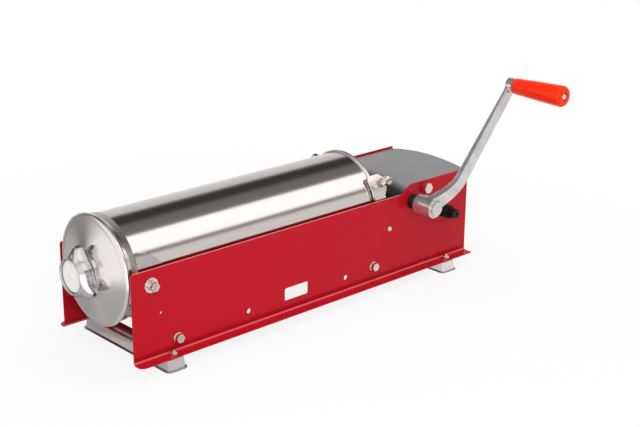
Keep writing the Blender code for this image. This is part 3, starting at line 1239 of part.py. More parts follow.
def frame_pieces(model):
    near_shafts = [(SLOW_X, SLOW_Z), (FAST_X, FAST_Z)]
    side_panel(model, "near_side_panel", -1, near_shafts)
    side_panel(model, "far_side_panel", 1, near_shafts[1:])
    for name, x in (("front_foot", FRONT_FOOT_X), ("rear_foot", REAR_FOOT_X)):
        foot(model, name, x)
        for side, label in ((-1, "near"), (1, "far")):
            foot_bolt(model, f"{name}_bolt_{label}", x, side)
    tie(model, "front_tie", FRONT_TIE, "front_spacer_tube", ROD_R + GAP + TUBE_WALL)
    tie(model, "rear_tie", REAR_TIE, "barrel_rest_tube", REST_R)


def barrel_pieces(model):
    barrel_tube(model)
    barrel_cap(model)
    spigot(model)
    for side, label in ((-1, "near"), (1, "far")):
        trunnion_pad(model, f"trunnion_pad_{label}", side)
        pivot_hardware(model, label, side)
        latch(model, label, side)
    nozzle_axis = model.empty("ring_nut_axis", (0, 0, BARREL_Z), model.datum)
    plug_disc(model, nozzle_axis)
    ring_nut(model, nozzle_axis)


def drive_pieces(model):
    piston_axis = model.empty("piston_axis", (0, 0, BARREL_Z), model.datum)
    piston(model, piston_axis)
    rack(model, piston_axis)
    fast_axis = model.empty("fast_axis", (FAST_X, 0, FAST_Z), model.datum)
    fast_shaft(model, fast_axis)
    main_gear(model, fast_axis)
    gear(model, "rack_pinion", RACK_PINION_TEETH, RACK_MODULE, math.pi / 2, PINION_FACE, 0, fast_axis)
    slow_axis = model.empty("slow_axis", (SLOW_X, 0, SLOW_Z), model.datum)
    slow_shaft(model, slow_axis)
    phase = MESH_ANGLE + math.pi + math.pi / SLOW_TEETH
    gear(model, "slow_pinion", SLOW_TEETH, GEAR_MODULE, phase, GEAR_FACE, GEAR_Y, slow_axis)
    crank(model, slow_axis)
    grip_spindle(model, slow_axis)
    grip(model, model.empty("grip_axis", ARM_DIRECTION * CRANK_RADIUS, slow_axis))
    cross_bolt(model, model.empty("roller_axis", (CROSS[0], 0, CROSS[1]), model.datum))
    bushes(model)
    gear_plate(model)
    gearbox_cover(model)
    rear_plate(model)


def main():
    clear_scene()
    model = Model()
    frame_pieces(model)
    barrel_pieces(model)
    drive_pieces(model)
    bpy.context.view_layer.update()


main()
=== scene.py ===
"""Looks of a horizontal hand-cranked sausage stuffer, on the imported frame, laid out as a Blender add-on.

The frame's origin lies on the bench in the middle of the front foot's bearing strip; X runs along the
barrel to the gearbox, Y to the far side, Z up. Every size here is in metres.
"""

import json
import math

import bmesh
import bpy
from bpy.props import FloatProperty, FloatVectorProperty, IntProperty, PointerProperty
from mathutils import Matrix, Vector


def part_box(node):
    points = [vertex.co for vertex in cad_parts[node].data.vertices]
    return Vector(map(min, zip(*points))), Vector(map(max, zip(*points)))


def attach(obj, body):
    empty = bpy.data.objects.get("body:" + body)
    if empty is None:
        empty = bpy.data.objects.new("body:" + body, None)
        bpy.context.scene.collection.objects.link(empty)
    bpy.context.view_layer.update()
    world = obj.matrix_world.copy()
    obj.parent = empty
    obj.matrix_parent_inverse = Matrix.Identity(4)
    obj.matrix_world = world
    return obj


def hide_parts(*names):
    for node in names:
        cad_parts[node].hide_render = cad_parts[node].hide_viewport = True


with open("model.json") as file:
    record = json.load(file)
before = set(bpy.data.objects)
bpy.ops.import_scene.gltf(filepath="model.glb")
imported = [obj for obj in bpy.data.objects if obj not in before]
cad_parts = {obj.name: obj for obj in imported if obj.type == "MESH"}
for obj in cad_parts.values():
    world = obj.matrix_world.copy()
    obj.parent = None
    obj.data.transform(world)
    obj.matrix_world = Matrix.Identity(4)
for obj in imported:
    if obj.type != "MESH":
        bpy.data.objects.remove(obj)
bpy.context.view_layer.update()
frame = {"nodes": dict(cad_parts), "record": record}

bl_info = {
    "name": "Sausage Stuffer Looks",
    "version": (1, 0, 0),
    "blender": (4, 5, 0),
    "location": "3D View > Sidebar > Stuffer",
    "description": "Dresses the packed sausage stuffer with its sheet metal, castings, paint and studio",
    "category": "Object",
}

# Sizes of the sheet metal that the finishes and the turned pieces are measured by
GAP = 0.0003                # between pieces that seat on each other
WELD = 1e-6                 # points closer than this are one
PANEL_SHEET = 0.002
FLANGE_WIDTH = 0.018
EDGE_RISE = 0.0192          # of the panels' top edge beside the barrel over the barrel's axis
STEP_AHEAD = 0.172          # from the top edge's rise to the gearbox to the panels' rear end
BARREL_WALL = 0.001
RIM_ROLL = 0.0024
SKIRT_BACK = 0.0035         # of the cap's duller skirt behind the barrel's front edge


def low(node):
    return Vector(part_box(node)[0])


def high(node):
    return Vector(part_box(node)[1])


def middle(node):
    return (low(node) + high(node)) / 2


# Places that follow from the frame
AXIS_Z = middle("barrel_tube").z
RIM_R = (high("barrel_tube").y - low("barrel_tube").y) / 2
BARREL_R = RIM_R - 2 * RIM_ROLL + BARREL_WALL
CAP_RIM_R = (high("barrel_cap").y - low("barrel_cap").y) / 2
COVER_WALL = low("gearbox_cover").x
FLANGE_TOP = low("near_side_panel").z + PANEL_SHEET
PANEL_FACE = high("far_side_panel").y - FLANGE_WIDTH
BARREL_EDGE = AXIS_Z + EDGE_RISE
STEP_X = high("near_side_panel").x - STEP_AHEAD
SKIRT_START = low("barrel_tube").x + SKIRT_BACK
GRIP_AXIS = middle("grip")


# Settings that a user may change

class StufferSizes(bpy.types.PropertyGroup):
    """Sizes of the dressed pieces."""

    sheet_edge: FloatProperty(
        name="Sheet edge", description="Rounding along the cut edges of the panels and plates",
        default=0.0005, min=0.0001, max=0.0009, unit="LENGTH")
    small_edge: FloatProperty(
        name="Small edge", description="Rounding along the edges of nuts, bolts and gear teeth",
        default=0.0003, min=0.0001, max=0.0006, unit="LENGTH")
    cast_edge: FloatProperty(
        name="Cast edge", description="Rounding along the edges of the crank and the ring nut",
        default=0.0012, min=0.0003, max=0.002, unit="LENGTH")
    thread_pitch: FloatProperty(
        name="Thread pitch", description="Distance between the crests on the rod and stud ends",
        default=0.00125, min=0.0008, max=0.002, unit="LENGTH")
    turns: IntProperty(
        name="Turned facets", description="Facets round the barrel, the cap and the ring nut",
        default=128, min=32, max=256)
    small_turns: IntProperty(
        name="Small facets", description="Facets round the grip, the bushes and the knobs",
        default=48, min=16, max=96)


class StufferColours(bpy.types.PropertyGroup):
    """Colours of the finishes, linear."""

    panel: FloatVectorProperty(
        name="Panels", description="Gloss paint on the two side panels", subtype="COLOR",
        default=(0.50, 0.007, 0.018), min=0, max=1)
    cover: FloatVectorProperty(
        name="Cover", description="Powder coat on the gearbox cover", subtype="COLOR",
        default=(0.245, 0.24, 0.245), min=0, max=1)
    grip: FloatVectorProperty(
        name="Grip", description="Moulded plastic of the crank's grip", subtype="COLOR",
        default=(0.92, 0.028, 0.006), min=0, max=1)
    steel: FloatVectorProperty(
        name="Stainless", description="Barrel, cap, feet and latches", subtype="COLOR",
        default=(0.80, 0.77, 0.75), min=0, max=1)
    cast: FloatVectorProperty(
        name="Casting", description="Crank, ring nut and spigot", subtype="COLOR",
        default=(0.84, 0.83, 0.84), min=0, max=1)
    zinc: FloatVectorProperty(
        name="Zinc", description="Nuts, bolts, rods and washers", subtype="COLOR",
        default=(0.80, 0.77, 0.70), min=0, max=1)
    floor: FloatVectorProperty(
        name="Floor", description="Studio floor", subtype="COLOR", default=(0.86, 0.86, 0.86), min=0, max=1)


def sizes():
    return bpy.context.scene.stuffer_sizes


def colours():
    return bpy.context.scene.stuffer_colours


# Shader maths

class Signal:
    """A shader output that Python's operators work on; each operator adds a Math node."""

    def __init__(self, finish, socket):
        self.finish = finish
        self.socket = socket

    def math(self, operation, first, second=0.0):
        return self.finish.node("ShaderNodeMath", {"operation": operation}, {0: first, 1: second})

    def __add__(self, other):
        return self.math("ADD", self, other)

    __radd__ = __add__

    def __sub__(self, other):
        return self.math("SUBTRACT", self, other)

    def __rsub__(self, other):
        return self.math("SUBTRACT", other, self)

    def __mul__(self, other):
        return self.math("MULTIPLY", self, other)

    __rmul__ = __mul__

    def __abs__(self):
        return self.math("ABSOLUTE", self)

    def clipped(self, start, end):
        """This signal's rise from start to end, as 0 to 1."""
        values = {0: self, 1: start, 2: end, 3: 0.0, 4: 1.0}
        return self.finish.node("ShaderNodeMapRange", {"interpolation_type": "SMOOTHSTEP"}, values)

    def within(self, start, full, fading, end):
        """1 from full to fading, and 0 before start and after end."""
        return self.clipped(start, full) * self.clipped(end, fading)


class Nodes:
    """Adds nodes to one tree."""

    def __init__(self, tree):
        self.tree = tree

    def put(self, socket, value):
        if isinstance(value, Signal):
            self.tree.links.new(value.socket, socket)
        elif isinstance(value, (tuple, list, Vector)) and len(socket.default_value) == 4:
            socket.default_value = (*value[:3], 1)
        else:
            socket.default_value = value

    def node(self, kind, settings=None, values=None, output=0):
        """A node of that type: its settings first, then its sockets' values or links."""
        node = self.tree.nodes.new(kind)
        for key, value in (settings or {}).items():
            if key == "stops":
                self.set_stops(node.color_ramp, value)
            else:
                setattr(node, key, value)
        for key, value in (values or {}).items():
            self.put(node.inputs[key], value)
        return Signal(self, node.outputs[output])

    def set_stops(self, ramp, stops):
        while len(ramp.elements) > 1:
            ramp.elements.remove(ramp.elements[-1])
        ramp.elements[0].position = stops[0][0]
        ramp.elements[0].color = (*stops[0][1], 1)
        for position, colour in stops[1:]:
            ramp.elements.new(position).color = (*colour, 1)

    def mix(self, factor, first, second):
        """Mixes two colours."""
        return self.node("ShaderNodeMix", {"data_type": "RGBA"}, {0: factor, 6: first, 7: second}, 2)

    def place(self):
        return self.node("ShaderNodeTexCoord", output=3)

    def stretched(self, vector, factors):
        return self.node("ShaderNodeVectorMath", {"operation": "MULTIPLY"}, {0: vector, 1: factors})

    def split(self, vector):
        """The three numbers of a vector."""
        first = self.node("ShaderNodeSeparateXYZ", {}, {0: vector})
        return tuple(Signal(self, socket) for socket in first.socket.node.outputs)

    def seen_by(self, kind):
        """1 for rays of that kind, or else 0."""
        first = self.node("ShaderNodeLightPath")
        return Signal(self, first.socket.node.outputs[kind])

    def noise(self, vector, scale, detail=2.0, roughness=0.5):
        values = {"Vector": vector, "Scale": scale, "Detail": detail, "Roughness": roughness}
        return self.node("ShaderNodeTexNoise", {}, values)

    def radius(self, centre):
        """Distance from a line along X through the centre."""
        moved = self.node("ShaderNodeVectorMath", {"operation": "SUBTRACT"}, {0: self.place(), 1: centre})
        flat = self.stretched(moved, (0, 1, 1))
        return self.node("ShaderNodeVectorMath", {"operation": "LENGTH"}, {0: flat}, 1)


class Finish(Nodes):
    """One material round a Principled shader."""

    def __init__(self, name, metallic=0.0, specular=0.5, tint=(1, 1, 1)):
        self.material = bpy.data.materials.new(name)
        self.material.use_nodes = True
        super().__init__(self.material.node_tree)
        self.shader = self.tree.nodes["Principled BSDF"]
        self.shader.inputs["Metallic"].default_value = metallic
        self.shader.inputs["Specular IOR Level"].default_value = specular
        self.shader.inputs["Specular Tint"].default_value = (*tint, 1)

    def mill_marks(self, where):
        """The rolled grain of sheet from the mill, and rub marks across it."""
        grain = self.noise(self.stretched(where, (700, 30, 700)), 1.0, 3.0)
        rubs = self.noise(self.stretched(where, (60, 400, 60)), 1.0, 5.0, 0.7).clipped(0.6, 0.75)
        return grain, rubs

    def surface(self, colour, roughness, height=None, distance=0.0001, strength=1.0):
        """Connects the finish to its shader; height is the relief, and distance its depth in metres."""
        self.put(self.shader.inputs["Base Color"], colour)
        self.put(self.shader.inputs["Roughness"], roughness)
        if height is not None:
            values = {"Strength": strength, "Distance": distance, "Height": height}
            self.put(self.shader.inputs["Normal"], self.node("ShaderNodeBump", {}, values))
        self.material.diffuse_color = (*colour, 1) if isinstance(colour, tuple) else (0.5, 0.5, 0.5, 1)
        return self.material


def shaded(colour, factor):
    return tuple(channel * factor for channel in colour)


def gloss_paint():
    """Sprayed gloss paint: orange peel, dust, a glossy film gathered in the bend with a painted highlight
    line on it, a painted dark reflection band above the bend and a painted highlight along the top edge.
    """
    finish = Finish("gloss_red_paint", specular=0.30, tint=(1.0, 0.18, 0.22))
    where = finish.place()
    film = finish.noise(where, 7.0, 2.0)
    dust = finish.noise(where, 900.0, 2.0, 0.6).clipped(0.66, 0.8)
    peel = finish.noise(where, 520.0, 1.0)
    colour = tuple(colours().panel)
    along, _, up = finish.split(where)
    # Painted highlight: a lighter pink line along the panels' top edge beside the barrel
    painted_edge_highlight = up.clipped(BARREL_EDGE - 0.0006, BARREL_EDGE - 0.0002) * along.clipped(STEP_X, STEP_X - 0.004)
    height = up - FLANGE_TOP
    # Coat in the bend for real gloss, and the paint lightened there as a painted highlight line
    bend_gloss_and_highlight = height.within(0.0006, 0.0014, 0.0024, 0.0034)
    # Painted dark reflection: the paint darkened in a band just above the bend
    above = height.within(0.0040, 0.0052, 0.0085, 0.0120)
    tone = finish.mix(film, shaded(colour, 0.93), shaded(colour, 1.07))
    tone = finish.mix(dust * 0.04, tone, (0.55, 0.30, 0.30))
    tone = finish.mix(above * 0.55, tone, shaded(colour, 0.55))
    tone = finish.mix(bend_gloss_and_highlight * 0.28, tone, (0.95, 0.35, 0.36))
    tone = finish.mix(painted_edge_highlight * 0.45, tone, (0.95, 0.45, 0.42))
    finish.put(finish.shader.inputs["Coat Weight"], bend_gloss_and_highlight)
    roughness = peel * 0.04 + dust * 0.1 + 0.17
    return finish.surface(tone, roughness, peel, distance=0.00002, strength=0.15)


def powder_coat():
    """Fine textured powder coat; the wall towards the barrel and half its fold are painted near black as
    painted shade.
    """
    finish = Finish("grey_powder_coat", specular=0.3)
    where = finish.place()
    grain = finish.noise(where, 1500.0, 3.0, 0.6)
    cloud = finish.noise(where, 14.0, 3.0)
    behind_wall = finish.split(where)[0] - COVER_WALL
    # Painted shade: near black on the wall towards the barrel, fading out over the fold
    painted_wall_shade = behind_wall.clipped(0.029, 0.013)
    colour = tuple(colours().cover)
    tone = finish.mix(cloud.clipped(0.3, 0.7), shaded(colour, 0.93), shaded(colour, 1.07))
    tone = finish.mix(grain.clipped(0.55, 0.75) * 0.25, tone, shaded(colour, 1.35))
    tone = finish.mix(painted_wall_shade, tone, (0.016, 0.019, 0.016))
    roughness = grain * 0.1 + 0.46
    return finish.surface(tone, roughness, grain, distance=0.00006, strength=0.5)


def drawn_steel():
    """Polished tube: fine draw lines along it and soft changes of gloss."""
    finish = Finish("drawn_stainless", metallic=1.0)
    where = finish.place()
    lines = finish.noise(finish.stretched(where, (4, 900, 900)), 1.0, 3.0)
    cloud = finish.noise(where, 14.0, 2.0)
    colour = tuple(colours().steel)
    tone = finish.mix(lines.clipped(0.35, 0.65), shaded(colour, 0.98), shaded(colour, 1.01))
    roughness = lines * 0.02 + cloud * 0.04 + 0.11
    return finish.surface(tone, roughness, lines, distance=0.000003, strength=0.2)


def spun_steel():
    """Spun cap: rings left by the forming roller, over a satin polish."""
    finish = Finish("spun_stainless", metallic=1.0)
    radius = finish.radius((0, 0, AXIS_Z))
    rings = finish.noise(finish.node("ShaderNodeCombineXYZ", {}, {0: radius * 900.0}), 1.0, 4.0)
    cloud = finish.noise(finish.place(), 20.0, 2.0)
    colour = tuple(colours().steel)
    skirt = finish.split(finish.place())[0].clipped(SKIRT_START, SKIRT_START + 0.0015)
    tone = finish.mix(rings.clipped(0.3, 0.7), shaded(colour, 0.95), shaded(colour, 1.02))
    roughness = rings * 0.03 + cloud * 0.04 + skirt * 0.2 + 0.11
    return finish.surface(tone, roughness, rings, distance=0.00003, strength=0.5)


def pressed_steel():
    """Pressed sheet with a mill finish and a few rub marks."""
    finish = Finish("pressed_stainless", metallic=1.0)
    where = finish.place()
    grain, rubs = finish.mill_marks(where)
    colour = tuple(colours().steel)
    tone = finish.mix(grain.clipped(0.35, 0.65), shaded(colour, 0.93), shaded(colour, 1.0))
    roughness = grain * 0.05 + rubs * 0.1 + 0.17
    return finish.surface(tone, roughness, grain, distance=0.00001, strength=0.3)


def mill_steel():
    """Pressed sheet with a mill finish and rub marks, lighter on the ends beyond the panels; painted shade on
    the lip at the bench, and the saddle pads painted darker as a painted dark reflection.
    """
    finish = Finish("mill_stainless", metallic=1.0)
    where = finish.place()
    grain, rubs = finish.mill_marks(where)
    colour = (0.79, 0.75, 0.745)
    _, side, height = finish.split(where)
    # Lighter on the ends that reach out beyond the panels
    lighter_ends = abs(side).clipped(PANEL_FACE + 0.004, PANEL_FACE + 0.012)
    # Painted shade: the lip darkened just above the bench
    painted_contact_shade = height.clipped(0.0034, 0.0012)
    # Painted dark reflection: the saddle pads, high above the bench, darkened
    pads_painted_dark = height.clipped(0.04, 0.06)
    tone = finish.mix(grain.clipped(0.35, 0.65), shaded(colour, 0.93), shaded(colour, 1.04))
    tone = finish.mix(lighter_ends, tone, shaded(colour, 1.08))
    tone = finish.mix(painted_contact_shade * 0.7, tone, (0.13, 0.12, 0.12))
    tone = finish.mix(pads_painted_dark, tone, shaded(colour, 0.76))
    roughness = grain * 0.05 + rubs * 0.1 + 0.10
    return finish.surface(tone, roughness, grain, distance=0.00001, strength=0.3)


def bright_casting():
    """Buffed aluminium casting: nearly a mirror, with the foundry's waves left in it."""
    finish = Finish("bright_casting", metallic=1.0)
    where = finish.place()
    waves = finish.noise(where, 130.0, 2.0)
    cloud = finish.noise(where, 60.0, 4.0, 0.6)
    colour = tuple(colours().cast)
    tone = finish.mix(cloud.clipped(0.3, 0.75), shaded(colour, 0.64), shaded(colour, 0.80))
    roughness = cloud * 0.08 + 0.07
    return finish.surface(tone, roughness, waves, distance=0.0006, strength=0.5)


def polished_casting():
    """Tumbled and polished aluminium casting: soft waves, small pits and a cloudy gloss."""
    finish = Finish("polished_casting", metallic=0.85)
    where = finish.place()
    waves = finish.noise(where, 90.0, 2.0)
    pits = finish.noise(where, 1400.0, 2.0).clipped(0.7, 0.8)
    cloud = finish.noise(where, 45.0, 4.0, 0.6)
    colour = tuple(colours().cast)
    tone = finish.mix(cloud.clipped(0.3, 0.75), shaded(colour, 0.74), shaded(colour, 0.92))
    tone = finish.mix(pits * 0.15, tone, shaded(colour, 0.5))
    roughness = cloud * 0.12 + 0.13
    return finish.surface(tone, roughness, waves - pits * 0.15, distance=0.0004, strength=0.30)


def zinc_plate():
    """Bright zinc with a faint straw tint that comes and goes, and painted shade where it meets the panels.
    """
    finish = Finish("bright_zinc_plate", metallic=1.0)
    where = finish.place()
    tint = finish.noise(where, 160.0, 3.0).clipped(0.35, 0.7)
    dull = finish.noise(where, 700.0, 3.0)
    waves = finish.noise(where, 230.0, 1.0)
    colour = tuple(colours().zinc)
    out = abs(finish.split(where)[1]) - PANEL_FACE
    # Painted shade: darkened where the fasteners meet the panels
    painted_contact_shade = out.within(-0.0010, -0.0004, 0.0003, 0.0017) * 0.75
    straw = (colour[0], colour[1] * 0.97, colour[2] * 0.86)
    bluish = (colour[2], colour[2], colour[2] * 1.04)
    tone = finish.mix(tint, straw, bluish)
    tone = finish.mix(painted_contact_shade, tone, (0.12, 0.10, 0.09))
    roughness = dull * 0.08 + 0.06
    return finish.surface(tone, roughness, waves, distance=0.002, strength=0.35)


def machined_steel():
    """Cut gear steel under a thin film of grease."""
    finish = Finish("machined_steel", metallic=1.0)
    where = finish.place()
    cuts = finish.noise(finish.stretched(where, (1200, 60, 1200)), 1.0, 2.0)
    grease = finish.noise(where, 40.0, 3.0).clipped(0.25, 0.80)
    tone = finish.mix(grease, (0.47, 0.46, 0.45), (0.30, 0.28, 0.25))
    roughness = cuts * 0.12 + 0.2 - grease * 0.08
    return finish.surface(tone, roughness, cuts, distance=0.00002, strength=0.4)


def blackened_steel():
    """Oil-blackened shaft with bare metal showing through on its rubbed places."""
    finish = Finish("blackened_steel", metallic=0.6)
    where = finish.place()
    rubbed = finish.noise(finish.stretched(where, (300, 90, 300)), 1.0, 4.0, 0.65).clipped(0.6, 0.8)
    tone = finish.mix(rubbed * 0.5, (0.016, 0.016, 0.018), (0.16, 0.155, 0.15))
    roughness = 0.42 - rubbed * 0.12
    return finish.surface(tone, roughness, rubbed, distance=0.00002, strength=0.3)


def moulded_black():
    """Black bearing plastic with a fine spark texture."""
    finish = Finish("moulded_black_plastic", specular=0.15)
    where = finish.place()
    spark = finish.noise(where, 1600.0, 2.0)
    cloud = finish.noise(where, 120.0, 3.0)
    tone = finish.mix(cloud.clipped(0.3, 0.7), (0.008, 0.008, 0.009), (0.02, 0.02, 0.021))
    roughness = spark * 0.14 + 0.36
    return finish.surface(tone, roughness, spark, distance=0.00003, strength=0.35)


def moulded_orange():
    """Glossy injection-moulded grip with a slightly cloudy pigment and a few specks."""
    finish = Finish("moulded_orange_plastic", specular=0.45, tint=(1.0, 0.50, 0.25))
    where = finish.place()
    cloud = finish.noise(where, 60.0, 2.0)
    specks = finish.noise(where, 900.0, 2.0).clipped(0.70, 0.82)
    colour = tuple(colours().grip)
    tone = finish.mix(cloud, shaded(colour, 0.95), shaded(colour, 1.05))
    tone = finish.mix(specks * 0.2, tone, shaded(colour, 0.6))
    roughness = cloud * 0.04 + 0.15
    return finish.surface(tone, roughness, cloud, distance=0.0001, strength=0.05)


def moulded_white():
    """Off-white food-safe plastic, slightly cloudy."""
    finish = Finish("moulded_white_plastic")
    where = finish.place()
    cloud = finish.noise(where, 70.0, 4.0)
    tone = finish.mix(cloud.clipped(0.3, 0.7), (0.94, 0.89, 0.83), (0.985, 0.955, 0.915))
    roughness = cloud * 0.12 + 0.3
    return finish.surface(tone, roughness, cloud, distance=0.0001, strength=0.2)


def seal_rubber():
    """Pale seal rubber with a dusty bloom."""
    finish = Finish("seal_rubber", specular=0.3)
    where = finish.place()
    bloom = finish.noise(where, 260.0, 4.0, 0.6)
    tone = finish.mix(bloom.clipped(0.35, 0.7), (0.62, 0.60, 0.56), (0.74, 0.72, 0.68))
    roughness = bloom * 0.2 + 0.45
    return finish.surface(tone, roughness, bloom, distance=0.00005, strength=0.3)


FINISHES = {
    "red_paint": gloss_paint,
    "grey_paint": powder_coat,
    "tube_steel": drawn_steel,
    "cap_steel": spun_steel,
    "stainless": pressed_steel,
    "foot_steel": mill_steel,
    "cast_aluminium": polished_casting,
    "nut_casting": bright_casting,
    "bright_zinc": zinc_plate,
    "gear_steel": machined_steel,
    "black_steel": blackened_steel,
    "black_plastic": moulded_black,
    "orange_plastic": moulded_orange,
    "white_plastic": moulded_white,
    "clear_rubber": seal_rubber,
}
# Materials made so far, by the name of their finish
MADE = {}


def finish_named(name):
    """The material of that name, made once."""
    if name not in MADE:
        MADE[name] = FINISHES[name]()
    return MADE[name]


# Pieces

def body_of(node):
    """The body that a CAD node belongs to."""
    for body, nodes in frame["record"]["behaviour"]["bodies"].items():
        if node in nodes:
            return body
    raise RuntimeError(f"{node} is in no body")


def slot_of(node):
    """The record's material slot of a CAD node."""
    for entry in frame["record"]["subparts"]:
        if entry["node"] == node:
            return entry["material_slot"]
    raise RuntimeError(f"{node} has no slot")


def add_piece(name, bm, finish, body, replaced=(), sharp=40, weighted=False):
    """Turns a bmesh into a finished piece that rides on a body and stands for CAD nodes."""
    bmesh.ops.remove_doubles(bm, verts=bm.verts, dist=WELD)
    bmesh.ops.recalc_face_normals(bm, faces=bm.faces)
    mesh = bpy.data.meshes.new(name)
    bm.to_mesh(mesh)
    bm.free()
    mesh.shade_smooth()
    mesh.set_sharp_from_angle(angle=math.radians(sharp))
    mesh.materials.append(finish_named(finish))
    piece = bpy.data.objects.new(name, mesh)
    bpy.context.scene.collection.objects.link(piece)
    if weighted:
        normals = piece.modifiers.new("Flat faces stay flat", "WEIGHTED_NORMAL")
        normals.keep_sharp = True
    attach(piece, body)
    if replaced:
        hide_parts(*replaced)
    return piece


def refined(node, edge, finish=None, segments=2, corner=30, sharp=35, shape=None):
    """A CAD node's shape, after shape(bm) if given, as whole faces with their sharp edges rounded."""
    bm = bmesh.new()
    bm.from_mesh(frame["nodes"][node].data)
    bmesh.ops.remove_doubles(bm, verts=bm.verts, dist=WELD)
    if shape:
        shape(bm)
    flat = math.radians(0.8)
    bmesh.ops.dissolve_limit(bm, angle_limit=flat, verts=bm.verts, edges=bm.edges)
    edges = [e for e in bm.edges if e.is_manifold and e.calc_face_angle() > math.radians(corner)]
    bmesh.ops.bevel(
        bm, geom=edges, offset=edge, offset_type="OFFSET", segments=segments, profile=0.5,
        affect="EDGES", clamp_overlap=True, material=-1)
    return add_piece(f"{node}_finished", bm, finish or slot_of(node), body_of(node), (node,), sharp, True)


def softened(points, radius, steps=3):
    """An open outline with its inner corners replaced by arcs."""
    nearly_straight = math.radians(172)
    side_share = 0.45
    outline = [points[0]]
    for before, here, after in zip(points, points[1:], points[2:]):
        corner = Vector(here)
        first = Vector(before) - corner
        second = Vector(after) - corner
        angle = first.angle(second)
        if angle > nearly_straight:
            outline.append(tuple(corner))
            continue
        longest = min(first.length, second.length) * side_share
        reach = min(radius / math.tan(angle / 2), longest)
        start = corner + first.normalized() * reach
        end = corner + second.normalized() * reach
        for i in range(steps + 1):
            t = i / steps
            outline.append(tuple(start * (1 - t) ** 2 + corner * 2 * t * (1 - t) + end * t ** 2))
    return outline + [points[-1]]


def turned(profile, centre, axis, facets, closed=False):
    """A bmesh spun from a profile of (distance along the axis, radius)."""
    axis = Vector(axis)
    side = Vector((0, 0, 1)) if abs(axis.z) < 0.9 else Vector((1, 0, 0))
    side = (side - axis * side.dot(axis)).normalized()
    bm = bmesh.new()
    points = [bm.verts.new(Vector(centre) + axis * along + side * radius) for along, radius in profile]
    edges = [bm.edges.new(pair) for pair in zip(points, points[1:])]
    if closed:
        edges.append(bm.edges.new((points[-1], points[0])))
    bmesh.ops.spin(
        bm, geom=bm.verts[:] + edges, cent=centre, axis=axis, dvec=(0, 0, 0), angle=2 * math.pi,
        steps=facets, use_merge=True, use_duplicate=False)
    return bm


def arc(centre, radius, start, end, steps):
    """Points of an arc in (along, radius), from the start angle to the end angle in degrees."""
    angles = [math.radians(start + (end - start) * i / steps) for i in range(steps + 1)]
    return [(centre[0] + radius * math.sin(a), centre[1] + radius * math.cos(a)) for a in angles]


class STUFFER_OT_panels(bpy.types.Operator):
    """Dresses the side panels and the gearbox sheets"""
    bl_idname = "stuffer.panels"
    bl_label = "Panels and gearbox sheets"

    def execute(self, context):
        edge = sizes().sheet_edge
        for node in ("near_side_panel", "far_side_panel", "rear_plate", "gear_plate"):
            refined(node, edge)
        refined("gearbox_cover", edge * 0.6, sharp=32)
        return {"FINISHED"}


class STUFFER_OT_feet(bpy.types.Operator):
    """Dresses the pressed feet"""
    bl_idname = "stuffer.feet"
    bl_label = "Feet"

    def execute(self, context):
        for node in ("front_foot", "rear_foot"):
            refined(node, sizes().sheet_edge * 1.6, "foot_steel", segments=3, corner=25, sharp=50)
        return {"FINISHED"}


class STUFFER_OT_barrel(bpy.types.Operator):
    """Makes the barrel with its rolled rim, and the saddle pads on its sides"""
    bl_idname = "stuffer.barrel"
    bl_label = "Barrel"

    def execute(self, context):
        rim = (high("barrel_tube").x - RIM_ROLL, RIM_R - RIM_ROLL)
        front = low("barrel_tube").x
        under = math.degrees(math.acos((BARREL_R - rim[1]) / RIM_ROLL))
        profile = [(front, BARREL_R), (front, BARREL_R - BARREL_WALL)]
        profile += arc(rim, RIM_ROLL, 180, -under, steps=20)
        bm = turned(profile, (0, 0, AXIS_Z), (1, 0, 0), sizes().turns, closed=True)
        add_piece("barrel_shell", bm, "tube_steel", "chassis", ("barrel_tube",), sharp=50)
        for label in ("near", "far"):
            refined(f"trunnion_pad_{label}", sizes().small_edge * 2.5, "foot_steel", sharp=40)
        return {"FINISHED"}


class STUFFER_OT_cap(bpy.types.Operator):
    """Makes the spun cap: skirt, rolled rim, shallow cone and the seat of the spigot"""
    bl_idname = "stuffer.cap"
    bl_label = "Barrel cap"

    roll_x: FloatProperty(
        name="Roll", description="Middle of the rolled rim, along the barrel", default=-0.04625,
        unit="LENGTH")
    flare: FloatProperty(
        name="Flare", description="Where the skirt turns outwards, behind the roll's middle", default=0.0058,
        unit="LENGTH")
    brow: FloatProperty(
        name="Brow", description="How far the rim's rounding reaches in over the face", default=0.0085,
        unit="LENGTH")
    dish: FloatProperty(
        name="Dish", description="How much the cone curves towards its seat", default=0.38, min=0, max=1)

    def execute(self, context):
        sheet = 0.0012
        start, end = low("barrel_cap").x, high("barrel_cap").x
        skirt_r = BARREL_R + GAP + sheet
        roll_r = 0.0035
        roll = (self.roll_x, CAP_RIM_R - roll_r)
        seat_r = 0.036
        bore_r = 0.0283
        outside = [(end, skirt_r), (roll[0] + self.flare, skirt_r)]
        outside += arc(roll, roll_r, 50, 0, steps=5)
        brow_steps = 12
        for i in range(1, brow_steps + 1):
            turn = math.radians(84 * i / brow_steps)
            outside.append((roll[0] - roll_r * math.sin(turn), CAP_RIM_R - self.brow * (1 - math.cos(turn))))
        face = roll[0] - roll_r
        crease = 0.0004
        inner = CAP_RIM_R - self.brow - crease
        steps = 18
        for i in range(steps + 1):
            t = i / steps
            rise = (1 - self.dish) * t + self.dish * t * t
            outside.append((face + (start - face) * rise, inner + (seat_r - inner) * t))
        outside.append((start, bore_r))
        bm = turned(outside, (0, 0, AXIS_Z), (1, 0, 0), sizes().turns)
        shell = add_piece("cap_shell", bm, "cap_steel", "chassis", ("barrel_cap",), sharp=60)
        wall = shell.modifiers.new("Sheet", "SOLIDIFY")
        wall.thickness = sheet
        wall.offset = -1
        wall.use_even_offset = True
        return {"FINISHED"}


